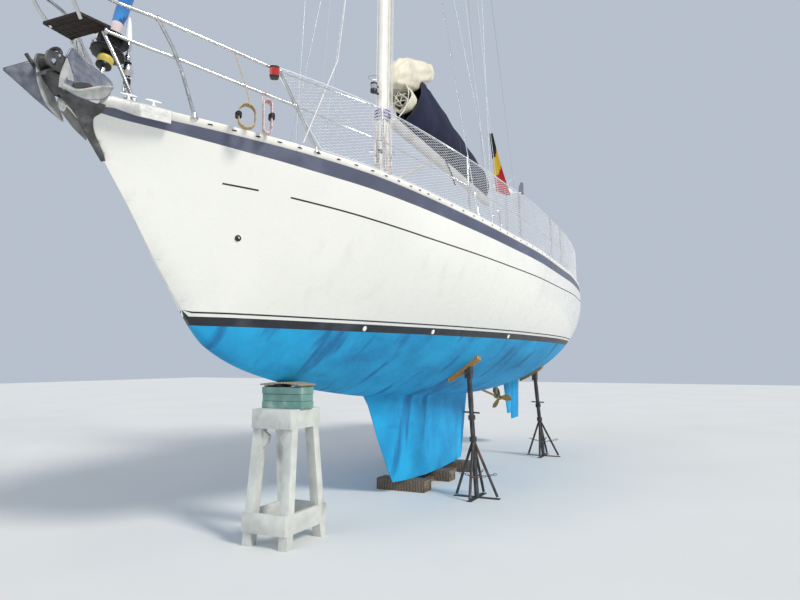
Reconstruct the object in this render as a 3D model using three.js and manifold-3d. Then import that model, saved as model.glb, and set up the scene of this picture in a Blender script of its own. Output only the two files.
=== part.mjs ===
// A masthead sloop standing ashore on keel blocks, a bow trestle and four side props.
import * as THREE from 'three';
import { mergeVertices } from 'three/addons/utils/BufferGeometryUtils.js';
import Module from 'manifold-3d';

const wasm = await Module();
wasm.setup();

// Driving dimensions in millimetres. Station s runs aft from the stem head, y to port and z up from the
// keel's foot, which stands on blocks above the ground.
const BOW_X = 6099;
const GROUND = -150;
const CAPPING_HIGH = 50;
const CAPPING_WIDE = 70;
const DECK_THICK = 35;
const CAMBER = 0.05;
const KEEL_FLAT = 30;
const GAP = 0.4;

const MAST_S = 4700;
const MAST_TOP = 19200;
const MAST_RAKE = THREE.MathUtils.degToRad(1.5);
const SPREADER_Z = 10900;
const SPREADER_REACH = 1120;
const CHAINPLATE_Y = 1480;
const WIRE = 5;

const GOOSENECK = { s: 4905, z: 4800 };
const BOOM_LONG = 4250;
const STAY_FOOT = { s: 300, z: 3560 };
const STAY_HEAD = { s: 4960, z: 18950 };

// Hull sections: the outline at each station bulges from a flat keel line out to the sheer.
const HULL_COLUMNS = ['s', 'breadth', 'sheer', 'bottom', 'fullness', 'power', 'bulge'];
const HULL_TABLE = [
  [0, 80, 3400, 3285, 1.05, 1.05, 0],
  [120, 158, 3390, 3225, 1.05, 1.06, 0],
  [500, 380, 3360, 2815, 1.05, 1.1, 0],
  [1000, 670, 3325, 2175, 1.08, 1.12, 0],
  [1500, 950, 3285, 1660, 1.12, 1.15, 0],
  [2200, 1260, 3230, 1420, 1.22, 1.2, 0],
  [3200, 1510, 3150, 1250, 1.5, 1.28, 0],
  [4500, 1710, 3070, 1120, 1.85, 1.35, 0.01],
  [6000, 1820, 3010, 1050, 2.1, 1.45, 0.02],
  [7500, 1800, 2975, 1030, 2.25, 1.55, 0.035],
  [9000, 1670, 2965, 1090, 2.3, 1.62, 0.05],
  [10500, 1420, 2985, 1320, 2.2, 1.65, 0.06],
  [11600, 1170, 3010, 1620, 2.1, 1.65, 0.06],
  [12500, 930, 3040, 1980, 2.0, 1.65, 0.06],
];
const STATIONS = [
  0, 120, 250, 500, 750, 1000, 1250, 1500, 1850, 2200, 2700, 3200, 3850, 4500, 5250,
  6000, 7000, 8000, 9000, 9800, 10500, 11100, 11600, 12050, 12500,
];
const TRANSOM = { topS: 12060, topZ: 3040, lowS: 12500, lowZ: 1980 };

// Coachroof sections: s, half-width at the deck, half-width at the roof edge, height, crown.
const ROOF_COLUMNS = ['s', 'base', 'top', 'high', 'crown'];
const ROOF_TABLE = [
  [3300, 560, 500, 60, 10],
  [3900, 700, 600, 230, 40],
  [4600, 820, 700, 350, 55],
  [6000, 960, 820, 410, 70],
  [7500, 1030, 880, 430, 75],
  [8750, 1040, 890, 430, 75],
];
const ROOF_WALL = 40;

const LOOKS = {
  gelcoat: [0xf1eee4, 0.3, 0],
  deck: [0xe4e0d4, 0.7, 0],
  antifouling: [0x14a0d8, 0.75, 0],
  steel: [0xc9ccd0, 0.25, 1],
  galvanised: [0x8d9294, 0.6, 0.8],
  mast: [0xe9e7e0, 0.4, 0.2],
  wood: [0x5a3a24, 0.7, 0],
  trestle: [0xb9bfbd, 0.8, 0],
  timber: [0x6f5a42, 0.9, 0],
  prop: [0x4c4a48, 0.7, 0.6],
  cover: [0x1c2438, 0.9, 0],
  genoa: [0x2d4a86, 0.9, 0],
  black: [0x16171a, 0.5, 0],
  bronze: [0xa27a3a, 0.4, 0.9],
  window: [0x20262c, 0.1, 0],
  flag: [0xe8c22a, 0.8, 0],
  white: [0xf4f4f2, 0.4, 0],
};

// A monotone cubic through a table's points, so that a fair line never overshoots them.
function fairLine(xs, ys) {
  const steps = xs.slice(1).map((x, i) => x - xs[i]);
  const slopes = steps.map((h, i) => (ys[i + 1] - ys[i]) / h);
  const tangents = xs.map((x, i) => {
    if (i === 0) return slopes[0];
    if (i === xs.length - 1) return slopes[i - 1];
    if (slopes[i - 1] * slopes[i] <= 0) return 0;
    const w1 = 2 * steps[i] + steps[i - 1];
    const w2 = steps[i] + 2 * steps[i - 1];
    return (w1 + w2) / (w1 / slopes[i - 1] + w2 / slopes[i]);
  });
  return (x) => {
    let i = 0;
    while (i < steps.length - 1 && x > xs[i + 1]) i += 1;
    const h = steps[i];
    const t = (x - xs[i]) / h;
    const rise = slopes[i] * h;
    const c = 3 * rise - (2 * tangents[i] + tangents[i + 1]) * h;
    const d = (tangents[i] + tangents[i + 1]) * h - 2 * rise;
    return ys[i] + tangents[i] * h * t + c * t * t + d * t * t * t;
  };
}

function linesOf(columns, table) {
  const at = {};
  columns.forEach((name, i) => {
    at[name] = fairLine(table.map((row) => row[0]), table.map((row) => row[i]));
  });
  return at;
}

const hullAt = linesOf(HULL_COLUMNS, HULL_TABLE);
const roofAt = linesOf(ROOF_COLUMNS, ROOF_TABLE);

const P = (s, y, z) => new THREE.Vector3(-s, y, z);

function halfBreadth(s, z) {
  const bottom = hullAt.bottom(s);
  const q = THREE.MathUtils.clamp((z - bottom) / (hullAt.sheer(s) - bottom), 0, 1);
  const curve = (1 - (1 - q) ** hullAt.fullness(s)) ** (1 / hullAt.power(s));
  return KEEL_FLAT + (hullAt.breadth(s) - KEEL_FLAT) * (curve + hullAt.bulge(s) * 4 * q * (1 - q));
}

function deckZ(s, y) {
  const edge = hullAt.breadth(s);
  return hullAt.sheer(s) - CAPPING_HIGH + CAMBER * edge * (1 - (y / edge) ** 2);
}

const roofZ = (s) => deckZ(s, 0) + roofAt.high(s) + roofAt.crown(s);

// Solids: shapes are made as closed geometries, then joined and cut.
function solid(geometry) {
  const bare = geometry.clone();
  bare.deleteAttribute('normal');
  bare.deleteAttribute('uv');
  const merged = mergeVertices(bare, 1e-3);
  return new wasm.Manifold(new wasm.Mesh({
    numProp: 3,
    vertProperties: new Float32Array(merged.attributes.position.array),
    triVerts: new Uint32Array(merged.index.array),
  }));
}

function geometryOf(body) {
  const mesh = body.getMesh();
  const geometry = new THREE.BufferGeometry();
  const points = new Float32Array(mesh.vertProperties);
  geometry.setAttribute('position', new THREE.BufferAttribute(points, 3));
  geometry.setIndex(new THREE.BufferAttribute(new Uint32Array(mesh.triVerts), 1));
  return geometry;
}

const moved = (body, x, y, z) => solid(geometryOf(body).translate(x, y, z));
const join = (bodies) => bodies.reduce((sum, body) => sum.add(body));
const cut = (body, tools) => tools.reduce((left, tool) => left.subtract(tool), body);

function mirrored(body) {
  const geometry = geometryOf(body).scale(1, -1, 1);
  const index = geometry.index.array;
  for (let i = 0; i < index.length; i += 3) {
    const first = index[i];
    index[i] = index[i + 1];
    index[i + 1] = first;
  }
  return solid(geometry);
}

function capOf(ring) {
  const normal = new THREE.Vector3();
  ring.forEach((a, i) => normal.add(a.clone().cross(ring[(i + 1) % ring.length])));
  normal.normalize();
  const u = ring[1].clone().sub(ring[0]).normalize();
  const v = normal.clone().cross(u);
  const flat = ring.map((p) => new THREE.Vector2(p.dot(u), p.dot(v)));
  return THREE.ShapeUtils.triangulateShape(flat, []);
}

// A closed skin through rings that all have the same number of points.
function loft(rings) {
  const size = rings[0].length;
  const points = rings.flat();
  const faces = [];
  for (let r = 0; r < rings.length - 1; r += 1) {
    for (let i = 0; i < size; i += 1) {
      const a = r * size + i;
      const b = r * size + ((i + 1) % size);
      faces.push([a, b, b + size], [a, b + size, a + size]);
    }
  }
  const last = (rings.length - 1) * size;
  capOf(rings[0]).forEach(([a, b, c]) => faces.push([a, c, b]));
  capOf(rings[rings.length - 1]).forEach(([a, b, c]) => faces.push([last + a, last + b, last + c]));
  const volume = faces.reduce((sum, [a, b, c]) => (
    sum + points[a].dot(points[b].clone().cross(points[c]))), 0);
  if (volume < 0) faces.forEach((face) => face.reverse());
  const geometry = new THREE.BufferGeometry();
  const flat = points.flatMap((p) => p.toArray());
  geometry.setAttribute('position', new THREE.Float32BufferAttribute(flat, 3));
  geometry.setIndex(faces.flat());
  return solid(geometry);
}

function outline(points) {
  return new THREE.Shape(points.map(([a, b]) => new THREE.Vector2(a, b)));
}

const flatExtrude = (points, depth) => (
  new THREE.ExtrudeGeometry(outline(points), { depth, bevelEnabled: false }));

// Prisms: an outline in (s, z), (y, z) or (s, y), pushed along the third direction.
function prismY(sz, y0, y1) {
  const geometry = flatExtrude(sz.map(([s, z]) => [-s, z]), y1 - y0);
  return solid(geometry.rotateX(Math.PI / 2).translate(0, y1, 0));
}

function prismX(yz, s0, s1) {
  const turn = new THREE.Matrix4().makeBasis(
    new THREE.Vector3(0, 1, 0), new THREE.Vector3(0, 0, 1), new THREE.Vector3(1, 0, 0));
  return solid(flatExtrude(yz, s1 - s0).applyMatrix4(turn).translate(-s1, 0, 0));
}

function prismZ(sy, z0, z1) {
  return solid(flatExtrude(sy.map(([s, y]) => [-s, y]), z1 - z0).translate(0, 0, z0));
}

function block(s0, s1, y0, y1, z0, z1) {
  const box = new THREE.BoxGeometry(s1 - s0, y1 - y0, z1 - z0);
  return solid(box.translate(-(s0 + s1) / 2, (y0 + y1) / 2, (z0 + z1) / 2));
}

// A straight round bar between two points, tapering where it has two radii.
function bar(a, b, radius, sides = 8, endRadius = radius) {
  const span = b.clone().sub(a);
  const geometry = new THREE.CylinderGeometry(endRadius, radius, span.length(), sides);
  const turn = new THREE.Quaternion().setFromUnitVectors(
    new THREE.Vector3(0, 1, 0), span.clone().normalize());
  geometry.applyQuaternion(turn);
  const middle = a.clone().add(b).multiplyScalar(0.5);
  return solid(geometry.translate(middle.x, middle.y, middle.z));
}

// A round tube along a curve; an arc is drawn with two sides for each curve segment.
function tube(points, radius, steps, sides = 6) {
  const section = new THREE.Shape();
  section.absarc(0, 0, radius, 0, 2 * Math.PI);
  const geometry = new THREE.ExtrudeGeometry(section, {
    steps,
    curveSegments: sides / 2,
    bevelEnabled: false,
    extrudePath: new THREE.CatmullRomCurve3(points, false, 'centripetal'),
  });
  return solid(geometry);
}

const yacht = new THREE.Group();
yacht.position.set(BOW_X, 0, -GROUND);

function add(name, body, look, parent = yacht) {
  const [color, roughness, metalness] = LOOKS[look];
  const material = new THREE.MeshStandardMaterial({ color, roughness, metalness });
  const mesh = new THREE.Mesh(geometryOf(body), material);
  mesh.name = name;
  parent.add(mesh);
  return mesh;
}

// Hull
const HULL_STEPS = 12;
const HULL_WALL = 45;
const DECK_STEPS = 6;

function hullRing(s, lift = 0) {
  const top = hullAt.sheer(s) - CAPPING_HIGH - DECK_THICK;
  const bottom = hullAt.bottom(s);
  const side = [];
  for (let k = 0; k <= HULL_STEPS; k += 1) {
    const q = (k / HULL_STEPS) ** 1.5;
    const z = bottom + (top - bottom) * q;
    side.push([halfBreadth(s, z), z + lift]);
  }
  const edge = side[HULL_STEPS][0];
  const deckLine = [];
  for (let k = 1; k < DECK_STEPS; k += 1) {
    const y = edge * (2 * k / DECK_STEPS - 1);
    deckLine.push([y, deckZ(s, y) - deckZ(s, edge) + top + lift]);
  }
  const port = side.map(([y, z]) => [y, z]);
  const starboard = side.slice().reverse().map(([y, z]) => [-y, z]);
  const ring = starboard.concat(port, deckLine.reverse());
  return ring.map(([y, z]) => P(s, y, z));
}

function transomCutter() {
  const { topS, topZ, lowS, lowZ } = TRANSOM;
  const slope = (lowS - topS) / (topZ - lowZ);
  const reach = 500;
  return prismY([
    [topS - slope * reach, topZ + reach],
    [lowS + slope * reach, lowZ - reach],
    [lowS + 1500, lowZ - reach],
    [lowS + 1500, topZ + reach],
  ], -2000, 2000);
}

const hullBlank = loft(STATIONS.map((s) => hullRing(s))).subtract(transomCutter());

// The space inside the hull's shell, open under the deck and ending in a solid bow
function hullInnerRing(s) {
  const bottom = hullAt.bottom(s) + HULL_WALL;
  const top = hullAt.sheer(s) + 200;
  const side = [];
  for (let k = 0; k <= HULL_STEPS; k += 1) {
    const z = bottom + (top - bottom) * (k / HULL_STEPS) ** 1.5;
    side.push([Math.max(halfBreadth(s, z) - HULL_WALL, 8), z]);
  }
  const starboard = side.slice().reverse().map(([y, z]) => [-y, z]);
  return starboard.concat(side).map(([y, z]) => P(s, y, z));
}
const SOLID_BOW = 700;
const INNER_STATIONS = [SOLID_BOW, ...STATIONS.filter((s) => s > SOLID_BOW + 100)];
const hullSpace = loft(INNER_STATIONS.map(hullInnerRing)).subtract(
  moved(transomCutter(), HULL_WALL + 10, 0, 0));

// Coachroof: the outer moulding, the space in it and its base opening.
function roofRing(s, inset, drop) {
  const base = roofAt.base(s) - inset;
  const top = roofAt.top(s) - inset;
  const deck = deckZ(s, 0);
  const edge = deck + roofAt.high(s) - inset;
  const crown = deck + roofAt.high(s) + roofAt.crown(s) - inset;
  const foot = deck - drop;
  return [
    P(s, -base, foot), P(s, base, foot), P(s, base, deck - 20), P(s, top, edge),
    P(s, top * 0.55, edge + (crown - edge) * 0.75), P(s, 0, crown),
    P(s, -top * 0.55, edge + (crown - edge) * 0.75), P(s, -top, edge), P(s, -base, deck - 20),
  ];
}

const ROOF_STATIONS = [3300, 3600, 3900, 4250, 4600, 5300, 6000, 6750, 7500, 8125, 8750];
const ROOF_INNER = [3700, 3900, 4250, 4600, 5300, 6000, 6750, 7500, 8125, 8750 - ROOF_WALL];
const COMPANION = { half: 320, fore: 7950, sill: 3080 };
const WINDOWS = [[4550, 5450], [5700, 6600], [6850, 7750]];
const MID_HATCH = { s0: 5950, s1: 6450, half: 250 };

function windowTools() {
  return WINDOWS.map(([s0, s1]) => {
    const low = deckZ((s0 + s1) / 2, 0) + 100;
    const high = low + 170;
    return prismY([
      [s0 + 90, low], [s0 + 10, low + 50], [s0, low + 80], [s0 + 60, high],
      [s1 - 40, high], [s1, high - 30], [s1, low + 40], [s1 - 40, low],
    ], -1500, 1500);
  });
}

const roofOuter = loft(ROOF_STATIONS.map((s) => roofRing(s, 0, 200)));
const roofInner = loft(ROOF_INNER.map((s) => roofRing(s, ROOF_WALL, 400)));
const companionTool = block(COMPANION.fore, 9200, -COMPANION.half, COMPANION.half, COMPANION.sill, 3800);
const midHatchTool = block(
  MID_HATCH.s0 + 30, MID_HATCH.s1 - 30, -MID_HATCH.half + 30, MID_HATCH.half - 30, 3300, 3800);
const hullTopLift = moved(hullBlank, 0, 0, GAP);
const coachroof = cut(roofOuter, [roofInner, companionTool, midHatchTool, hullTopLift, ...windowTools()]);
add('coachroof', coachroof, 'gelcoat');

// Cabin windows: one tinted pane a side, held against the wall's inner face.
function paneRing(s) {
  const clear = ROOF_WALL + 3;
  const thick = 8;
  const low = deckZ(s, 0) + 70;
  const high = low + 215;
  const lean = (z) => {
    const t = (z - deckZ(s, 0) + 20) / (roofAt.high(s) - ROOF_WALL + 20);
    return roofAt.base(s) + (roofAt.top(s) - roofAt.base(s)) * t - clear;
  };
  const inner = (z) => lean(z) - thick;
  return [P(s, lean(low), low), P(s, lean(high), high), P(s, inner(high), high), P(s, inner(low), low)];
}

const PANE_STATIONS = [4600, 5300, 6000, 6750, 7500, 7800];
const panePort = loft(PANE_STATIONS.map(paneRing));
add('window_port', panePort, 'window');
add('window_starboard', mirrored(panePort), 'window');

// Cockpit: a moulded tub with a foot well, two seats and raised coamings.
const COCKPIT = {
  fore: 8790, aft: 11350, sole: 2480, seat: 2880, well: 500, half: 960, wall: 25, coaming: 130,
};
const coamingTop = (s) => deckZ(s, COCKPIT.half) + 250;

function cockpitOuter(grow) {
  const { fore, aft, sole, seat, well, half, wall, coaming } = COCKPIT;
  const s0 = fore - grow;
  const s1 = aft + grow;
  const wide = half + coaming + grow;
  const footWell = block(s0, s1, -well - wall - grow, well + wall + grow, sole - wall - grow, seat);
  const bench = block(s0, s1, -half - wall - grow, half + wall + grow, seat - wall - grow, 3060);
  const rim = prismY([
    [s0, 3060 - 90], [s0, coamingTop(s0) + grow], [s1 - 500, coamingTop(s1) - 10 + grow],
    [s1, 3160 + grow], [s1, 3060 - 90],
  ], -wide, wide);
  return join([footWell, bench, rim]);
}

function cockpitInner() {
  const { fore, aft, sole, seat, well, half, wall } = COCKPIT;
  return join([
    block(fore + wall, aft - wall, -well, well, sole, seat + 10),
    block(fore + wall, aft - wall, -half, half, seat, 3800),
  ]);
}

const LOCKERS = { fore: 9250, aft: 10250, inner: 560, outer: 900, floor: 2560 };
const lockerHole = (side) => {
  const ys = [side * LOCKERS.inner, side * LOCKERS.outer].sort((a, b) => a - b);
  return block(LOCKERS.fore, LOCKERS.aft, ys[0], ys[1], LOCKERS.floor, COCKPIT.seat + 20);
};
const forwardBreak = block(
  8700, COCKPIT.fore + COCKPIT.wall + 5, -COMPANION.half, COMPANION.half, COCKPIT.seat + 180, 3800);
const tub = cut(cockpitOuter(0), [cockpitInner(), lockerHole(1), lockerHole(-1), forwardBreak]);
add('cockpit_tub', tub, 'gelcoat');

// Seat locker lids, hinged along their outboard edges.
[['port', 1], ['starboard', -1]].forEach(([side, sign]) => {
  const ys = [sign * (LOCKERS.inner - 25), sign * (LOCKERS.outer + 25)].sort((a, b) => a - b);
  const lid = block(
    LOCKERS.fore - 25, LOCKERS.aft + 25, ys[0], ys[1], COCKPIT.seat + 6, COCKPIT.seat + 30);
  add(`locker_lid_${side}`, lid, 'gelcoat');
});

// Deck openings below the hatches
const FORE_HATCH = { s0: 2350, s1: 2950, half: 300 };
const ANCHOR_LID = { s0: 950, s1: 1500, half: 260 };
const anchorHole = block(
  ANCHOR_LID.s0 + 30, ANCHOR_LID.s1 - 30, -ANCHOR_LID.half + 60, ANCHOR_LID.half - 60, 2850, 3600);
const foreHatchHole = block(
  FORE_HATCH.s0 + 40, FORE_HATCH.s1 - 40, -FORE_HATCH.half + 40, FORE_HATCH.half - 40, 2700, 3600);
const hull = cut(hullBlank, [hullSpace, cockpitOuter(1)]);
add('hull', hull, 'gelcoat');

// Deck: a cambered plate laid on the hull inside its edge.
function deckRing(s, depth = 0) {
  const edge = halfBreadth(s, hullAt.sheer(s) - CAPPING_HIGH) - 4;
  const edgeLow = deckZ(s, edge) - DECK_THICK + 3 * GAP - depth;
  const ring = [P(s, edge, edgeLow)];
  for (let k = 0; k <= DECK_STEPS; k += 1) {
    const y = edge * (1 - 2 * k / DECK_STEPS);
    ring.push(P(s, y, deckZ(s, y)));
  }
  ring.push(P(s, -edge, edgeLow));
  for (let k = 1; k < DECK_STEPS; k += 1) {
    const y = edge * (2 * k / DECK_STEPS - 1);
    ring.push(P(s, y, deckZ(s, y) - DECK_THICK - 30 - depth));
  }
  return ring;
}

function hatchFrame({ s0, s1, half }, wall) {
  const top = deckZ(s0, 0) + 22;
  const outer = block(s0 + 5, s1 - 5, -half + 5, half - 5, deckZ(s1, 0) - 50, top);
  return outer.subtract(block(s0 + wall, s1 - wall, -half + wall, half - wall, 2700, 3700));
}

const hullWider = [moved(hullBlank, 0, GAP, 0), moved(hullBlank, 0, -GAP, 0)];
const deckBlank = cut(loft(STATIONS.map((s) => deckRing(s))), [transomCutter(), hullTopLift, ...hullWider]);
const belowDeck = moved(loft(STATIONS.map((s) => deckRing(s, 500))), 0, 0, GAP);
const belowSheer = loft(STATIONS.map((s) => {
  const high = hullAt.sheer(s) + 1;
  return [P(s, -2000, 2000), P(s, 2000, 2000), P(s, 2000, high), P(s, -2000, high)];
}));
const roofFoot = loft(ROOF_STATIONS.map((s) => {
  const half = roofAt.base(s) + 1;
  return [P(s, -half, 2500), P(s, half, 2500), P(s, half, 3500), P(s, -half, 3500)];
}));
const roofEnds = block(3299, 8752, -560, 560, 2500, 3500);
const deckPlain = cut(deckBlank, [roofFoot, roofEnds, cockpitOuter(1), anchorHole, foreHatchHole]);
const frames = join([hatchFrame(FORE_HATCH, 40), hatchFrame(ANCHOR_LID, 60)]).subtract(hullTopLift);
const deck = deckPlain.add(frames);
add('deck', deck, 'deck');

// Toe rail: the white capping along both edges and across the transom.
function cappingRing(s) {
  const out = hullAt.breadth(s) + 6;
  const inn = Math.max(out - CAPPING_WIDE - 6, -2);
  const top = hullAt.sheer(s);
  return [P(s, out, top - 60), P(s, out, top), P(s, inn, top), P(s, inn, top - 60)];
}

const cappingPort = loft(STATIONS.map(cappingRing));
const transomCapping = block(11985, 12200, -1060, 1060, 2980, 3056);
const toeRail = cut(join([cappingPort, mirrored(cappingPort), transomCapping]), [
  transomCutter(), belowDeck, moved(belowDeck, 0, GAP, 0), moved(belowDeck, 0, -GAP, 0), hullTopLift,
]);
add('toe_rail', toeRail, 'white');

// Foils: keel, skeg and rudder are stacks of streamlined sections.
function foilRing(fore, aft, thick, z) {
  const chord = aft - fore;
  const shape = [[0, 0.02], [0.03, 0.32], [0.12, 0.68], [0.3, 1], [0.55, 0.86], [0.8, 0.46], [1, 0.05]];
  const port = shape.map(([t, w]) => P(fore + t * chord, (w * thick) / 2, z));
  const starboard = shape.slice().reverse().map(([t, w]) => P(fore + t * chord, (-w * thick) / 2, z));
  return port.concat(starboard);
}

const KEEL_FOOT = 0;
const keelBlank = loft([
  foilRing(5030, 7560, 290, KEEL_FOOT),
  foilRing(4960, 7600, 320, KEEL_FOOT + 90),
  foilRing(4600, 7730, 345, 600),
  foilRing(4350, 7850, 360, 1020),
  foilRing(4230, 8100, 420, 1140),
  foilRing(4120, 8300, 460, 1300),
]);
const hullDrop = moved(hullBlank, 0, 0, -GAP);
add('keel', keelBlank.subtract(hullDrop).subtract(block(3700, 8400, -400, 400, 1200, 1400)), 'antifouling');

const skegBlank = loft([foilRing(10300, 10560, 60, 520), foilRing(9950, 10580, 110, 1450)]);
add('skeg', cut(skegBlank, [hullDrop, block(9800, 10700, -300, 300, 1420, 1600)]), 'antifouling');

const RUDDER_AXIS = { s: 10640, foot: 400, head: 1345 };
const rudderTop = (s) => hullAt.bottom(s) - 32;
const rudderBlade = loft([
  foilRing(10590, 11080, 60, 400),
  foilRing(10590, 11150, 80, rudderTop(10590)),
]);
const rudderHead = prismY([
  [10585, rudderTop(10590) - 5], [11160, rudderTop(10590) - 5], [11160, rudderTop(11100)],
  [11000, rudderTop(11000)], [10585, rudderTop(10590)],
], -18, 18);
add('rudder', join([
  rudderBlade, rudderHead,
  bar(P(RUDDER_AXIS.s, 0, RUDDER_AXIS.foot - 10), P(RUDDER_AXIS.s, 0, RUDDER_AXIS.head), 30, 12),
]), 'antifouling');

// Shaft, bracket and propeller
const SHAFT = { foreS: 8700, foreZ: 1045, aftS: 9700, aftZ: 865 };
const shaftFore = P(SHAFT.foreS, 0, SHAFT.foreZ);
const shaftAft = P(SHAFT.aftS, 0, SHAFT.aftZ);
const shaftWay = shaftAft.clone().sub(shaftFore).normalize();
const along = (t) => shaftAft.clone().addScaledVector(shaftWay, t);
const bracketStrut = prismY([[9480, 900], [9600, 880], [9640, 1300], [9430, 1300]], -11, 11);
const shaftAndBracket = join([
  bar(along(-1000), along(0), 19, 12),
  bar(along(-190), along(-10), 42, 12),
  bracketStrut,
]).subtract(hullDrop);
add('shaft_and_bracket', shaftAndBracket, 'bronze');

const PITCH = THREE.MathUtils.degToRad(38);
const propeller = new THREE.Group();
propeller.position.copy(along(8));
propeller.quaternion.setFromUnitVectors(new THREE.Vector3(0, 0, 1), shaftWay);
yacht.add(propeller);

function propellerBody() {
  const hub = solid(new THREE.LatheGeometry([
    [0, 0], [42, 0], [46, 30], [44, 90], [30, 130], [0, 150],
  ].map(([r, h]) => new THREE.Vector2(r, h)), 16).rotateX(Math.PI / 2));
  const blade = () => {
    const face = new THREE.Shape();
    face.moveTo(-22, 25);
    face.bezierCurveTo(-60, 80, -95, 170, -40, 232);
    face.bezierCurveTo(0, 250, 60, 215, 70, 150);
    face.bezierCurveTo(72, 100, 40, 60, 22, 25);
    face.closePath();
    const geometry = new THREE.ExtrudeGeometry(face, { depth: 9, bevelEnabled: false, curveSegments: 4 });
    geometry.translate(0, 0, -4.5).rotateY(PITCH).translate(0, 0, 55);
    return geometry;
  };
  const blades = [0, 1, 2].map((k) => solid(blade().rotateZ((k * 2 * Math.PI) / 3)));
  return join([hub, ...blades]);
}
add('propeller', propellerBody(), 'bronze', propeller);

// Bow fittings: a channel with one roller, on a wedge ahead of the stem and a foot on the deck
const CHANNEL = { port: 75, starboard: -25, floor: 3438, aft: 320, cheek: 10 };
const rollerBase = block(-110, CHANNEL.aft, CHANNEL.starboard, CHANNEL.port, CHANNEL.floor, CHANNEL.floor + 12);
const cheek = (y) => prismY([
  [-110, CHANNEL.floor], [-165, 3480], [-150, 3545], [-60, 3560], [60, 3520], [CHANNEL.aft, CHANNEL.floor + 12],
  [CHANNEL.aft, CHANNEL.floor],
], y, y + CHANNEL.cheek);
const wedge = prismY([[-110, CHANNEL.floor + 5], [-8, CHANNEL.floor + 5], [-8, 3340]], -55, 55);
const deckFoot = block(130, 290, CHANNEL.starboard, CHANNEL.port, 3352, CHANNEL.floor + 5);
const bowPlatform = join([
  rollerBase, cheek(CHANNEL.starboard - CHANNEL.cheek), cheek(CHANNEL.port - CHANNEL.cheek), wedge, deckFoot,
  bar(P(-115, CHANNEL.starboard - 2, 3492), P(-115, CHANNEL.port - 2, 3492), 24, 14),
]);
const stayFoot = P(STAY_FOOT.s, 0, STAY_FOOT.z);
const stayHead = P(STAY_HEAD.s, 0, STAY_HEAD.z);
const stayWay = stayHead.clone().sub(stayFoot).normalize();
const stayLong = stayFoot.distanceTo(stayHead);
const onStay = (t) => stayFoot.clone().addScaledVector(stayWay, t);
add('bow_roller', join([bowPlatform, bar(onStay(-110), onStay(90), 18, 10)]), 'galvanised');

// How far aft the stem is at a height
function stemAt(z) {
  let low = 0;
  let high = 1500;
  for (let step = 0; step < 24; step += 1) {
    const middle = (low + high) / 2;
    if (hullAt.bottom(middle) > z) low = middle;
    else high = middle;
  }
  return low;
}

// Guard: a shell round the upper stem that follows the hull. Rows are z and the reach aft of the stem.
const GUARD = [[3272, 110], [3255, 105], [3225, 95], [3150, 85], [3070, 75], [2985, 50]];
const GUARD_PROUD = 14;
const guardBlank = loft(GUARD.map(([z, reach]) => {
  const s = stemAt(z);
  const port = [
    [s - 2 * GUARD_PROUD, KEEL_FLAT + GUARD_PROUD],
    ...[0, 0.5, 1].map((part) => [s + part * reach, halfBreadth(s + part * reach, z) + GUARD_PROUD * 1.5]),
  ];
  const starboard = port.slice().reverse().map(([at, y]) => [at, -y]);
  return port.concat(starboard).map(([at, y]) => P(at, y, z));
}));
const deckAround = [[GAP, 0], [0, GAP], [0, -GAP]].map(([x, y]) => moved(deckBlank, x, y, 0));
add('stem_plate', cut(guardBlank, [moved(hullBlank, GAP, 0, 0), ...deckAround]), 'galvanised');

// A flat plate of even thickness with its middle face on the given points
function plate(points, thick) {
  const [a, b] = points;
  const c = points[points.length - 1];
  const push = b.clone().sub(a).cross(c.clone().sub(a)).setLength(thick / 2);
  return loft([points.map((p) => p.clone().sub(push)), points.map((p) => p.clone().add(push))]);
}

// Plough anchors stowed beside the channel: two wings that meet along a ridge, and a flat shank
const ANCHORS = {
  anchor_starboard: {
    wings: [
      [[-50, -150, 3575], [-210, -280, 3467], [140, -150, 3215]],
      [[-50, -150, 3575], [-150, -42, 3505], [-116, -60, 3385], [-10, -100, 3270], [140, -150, 3215]],
    ],
    shank: { y: -150, outline: [[-72, 3556], [-60, 3604], [60, 3592], [300, 3530], [300, 3500], [20, 3550], [-20, 3530]] },
  },
  anchor_port: {
    wings: [
      [
        [-150, 250, 3258], [-42, 100, 3554], [0, 100, 3624], [67, 120, 3569], [139, 160, 3527], [198, 210, 3472],
        [208, 250, 3411], [150, 250, 3318], [46, 250, 3266],
      ],
      [
        [-192, 250, 3264], [-230, 290, 3264], [-132, 290, 3262], [-20, 290, 3303], [68, 290, 3352],
        [208, 250, 3411], [150, 250, 3318], [46, 250, 3262], [-42, 250, 3250],
      ],
    ],
    shank: { y: 112, outline: [[-60, 3470], [-45, 3560], [20, 3556], [300, 3500], [300, 3470], [30, 3500]] },
  },
};
const WING_THICK = 12;
const SHANK_THICK = 20;
Object.entries(ANCHORS).forEach(([name, { wings, shank }]) => {
  add(name, join([
    ...wings.map((points) => plate(points.map((p) => P(...p)), WING_THICK)),
    prismY(shank.outline, shank.y - SHANK_THICK / 2, shank.y + SHANK_THICK / 2),
  ]), 'galvanised');
});

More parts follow.
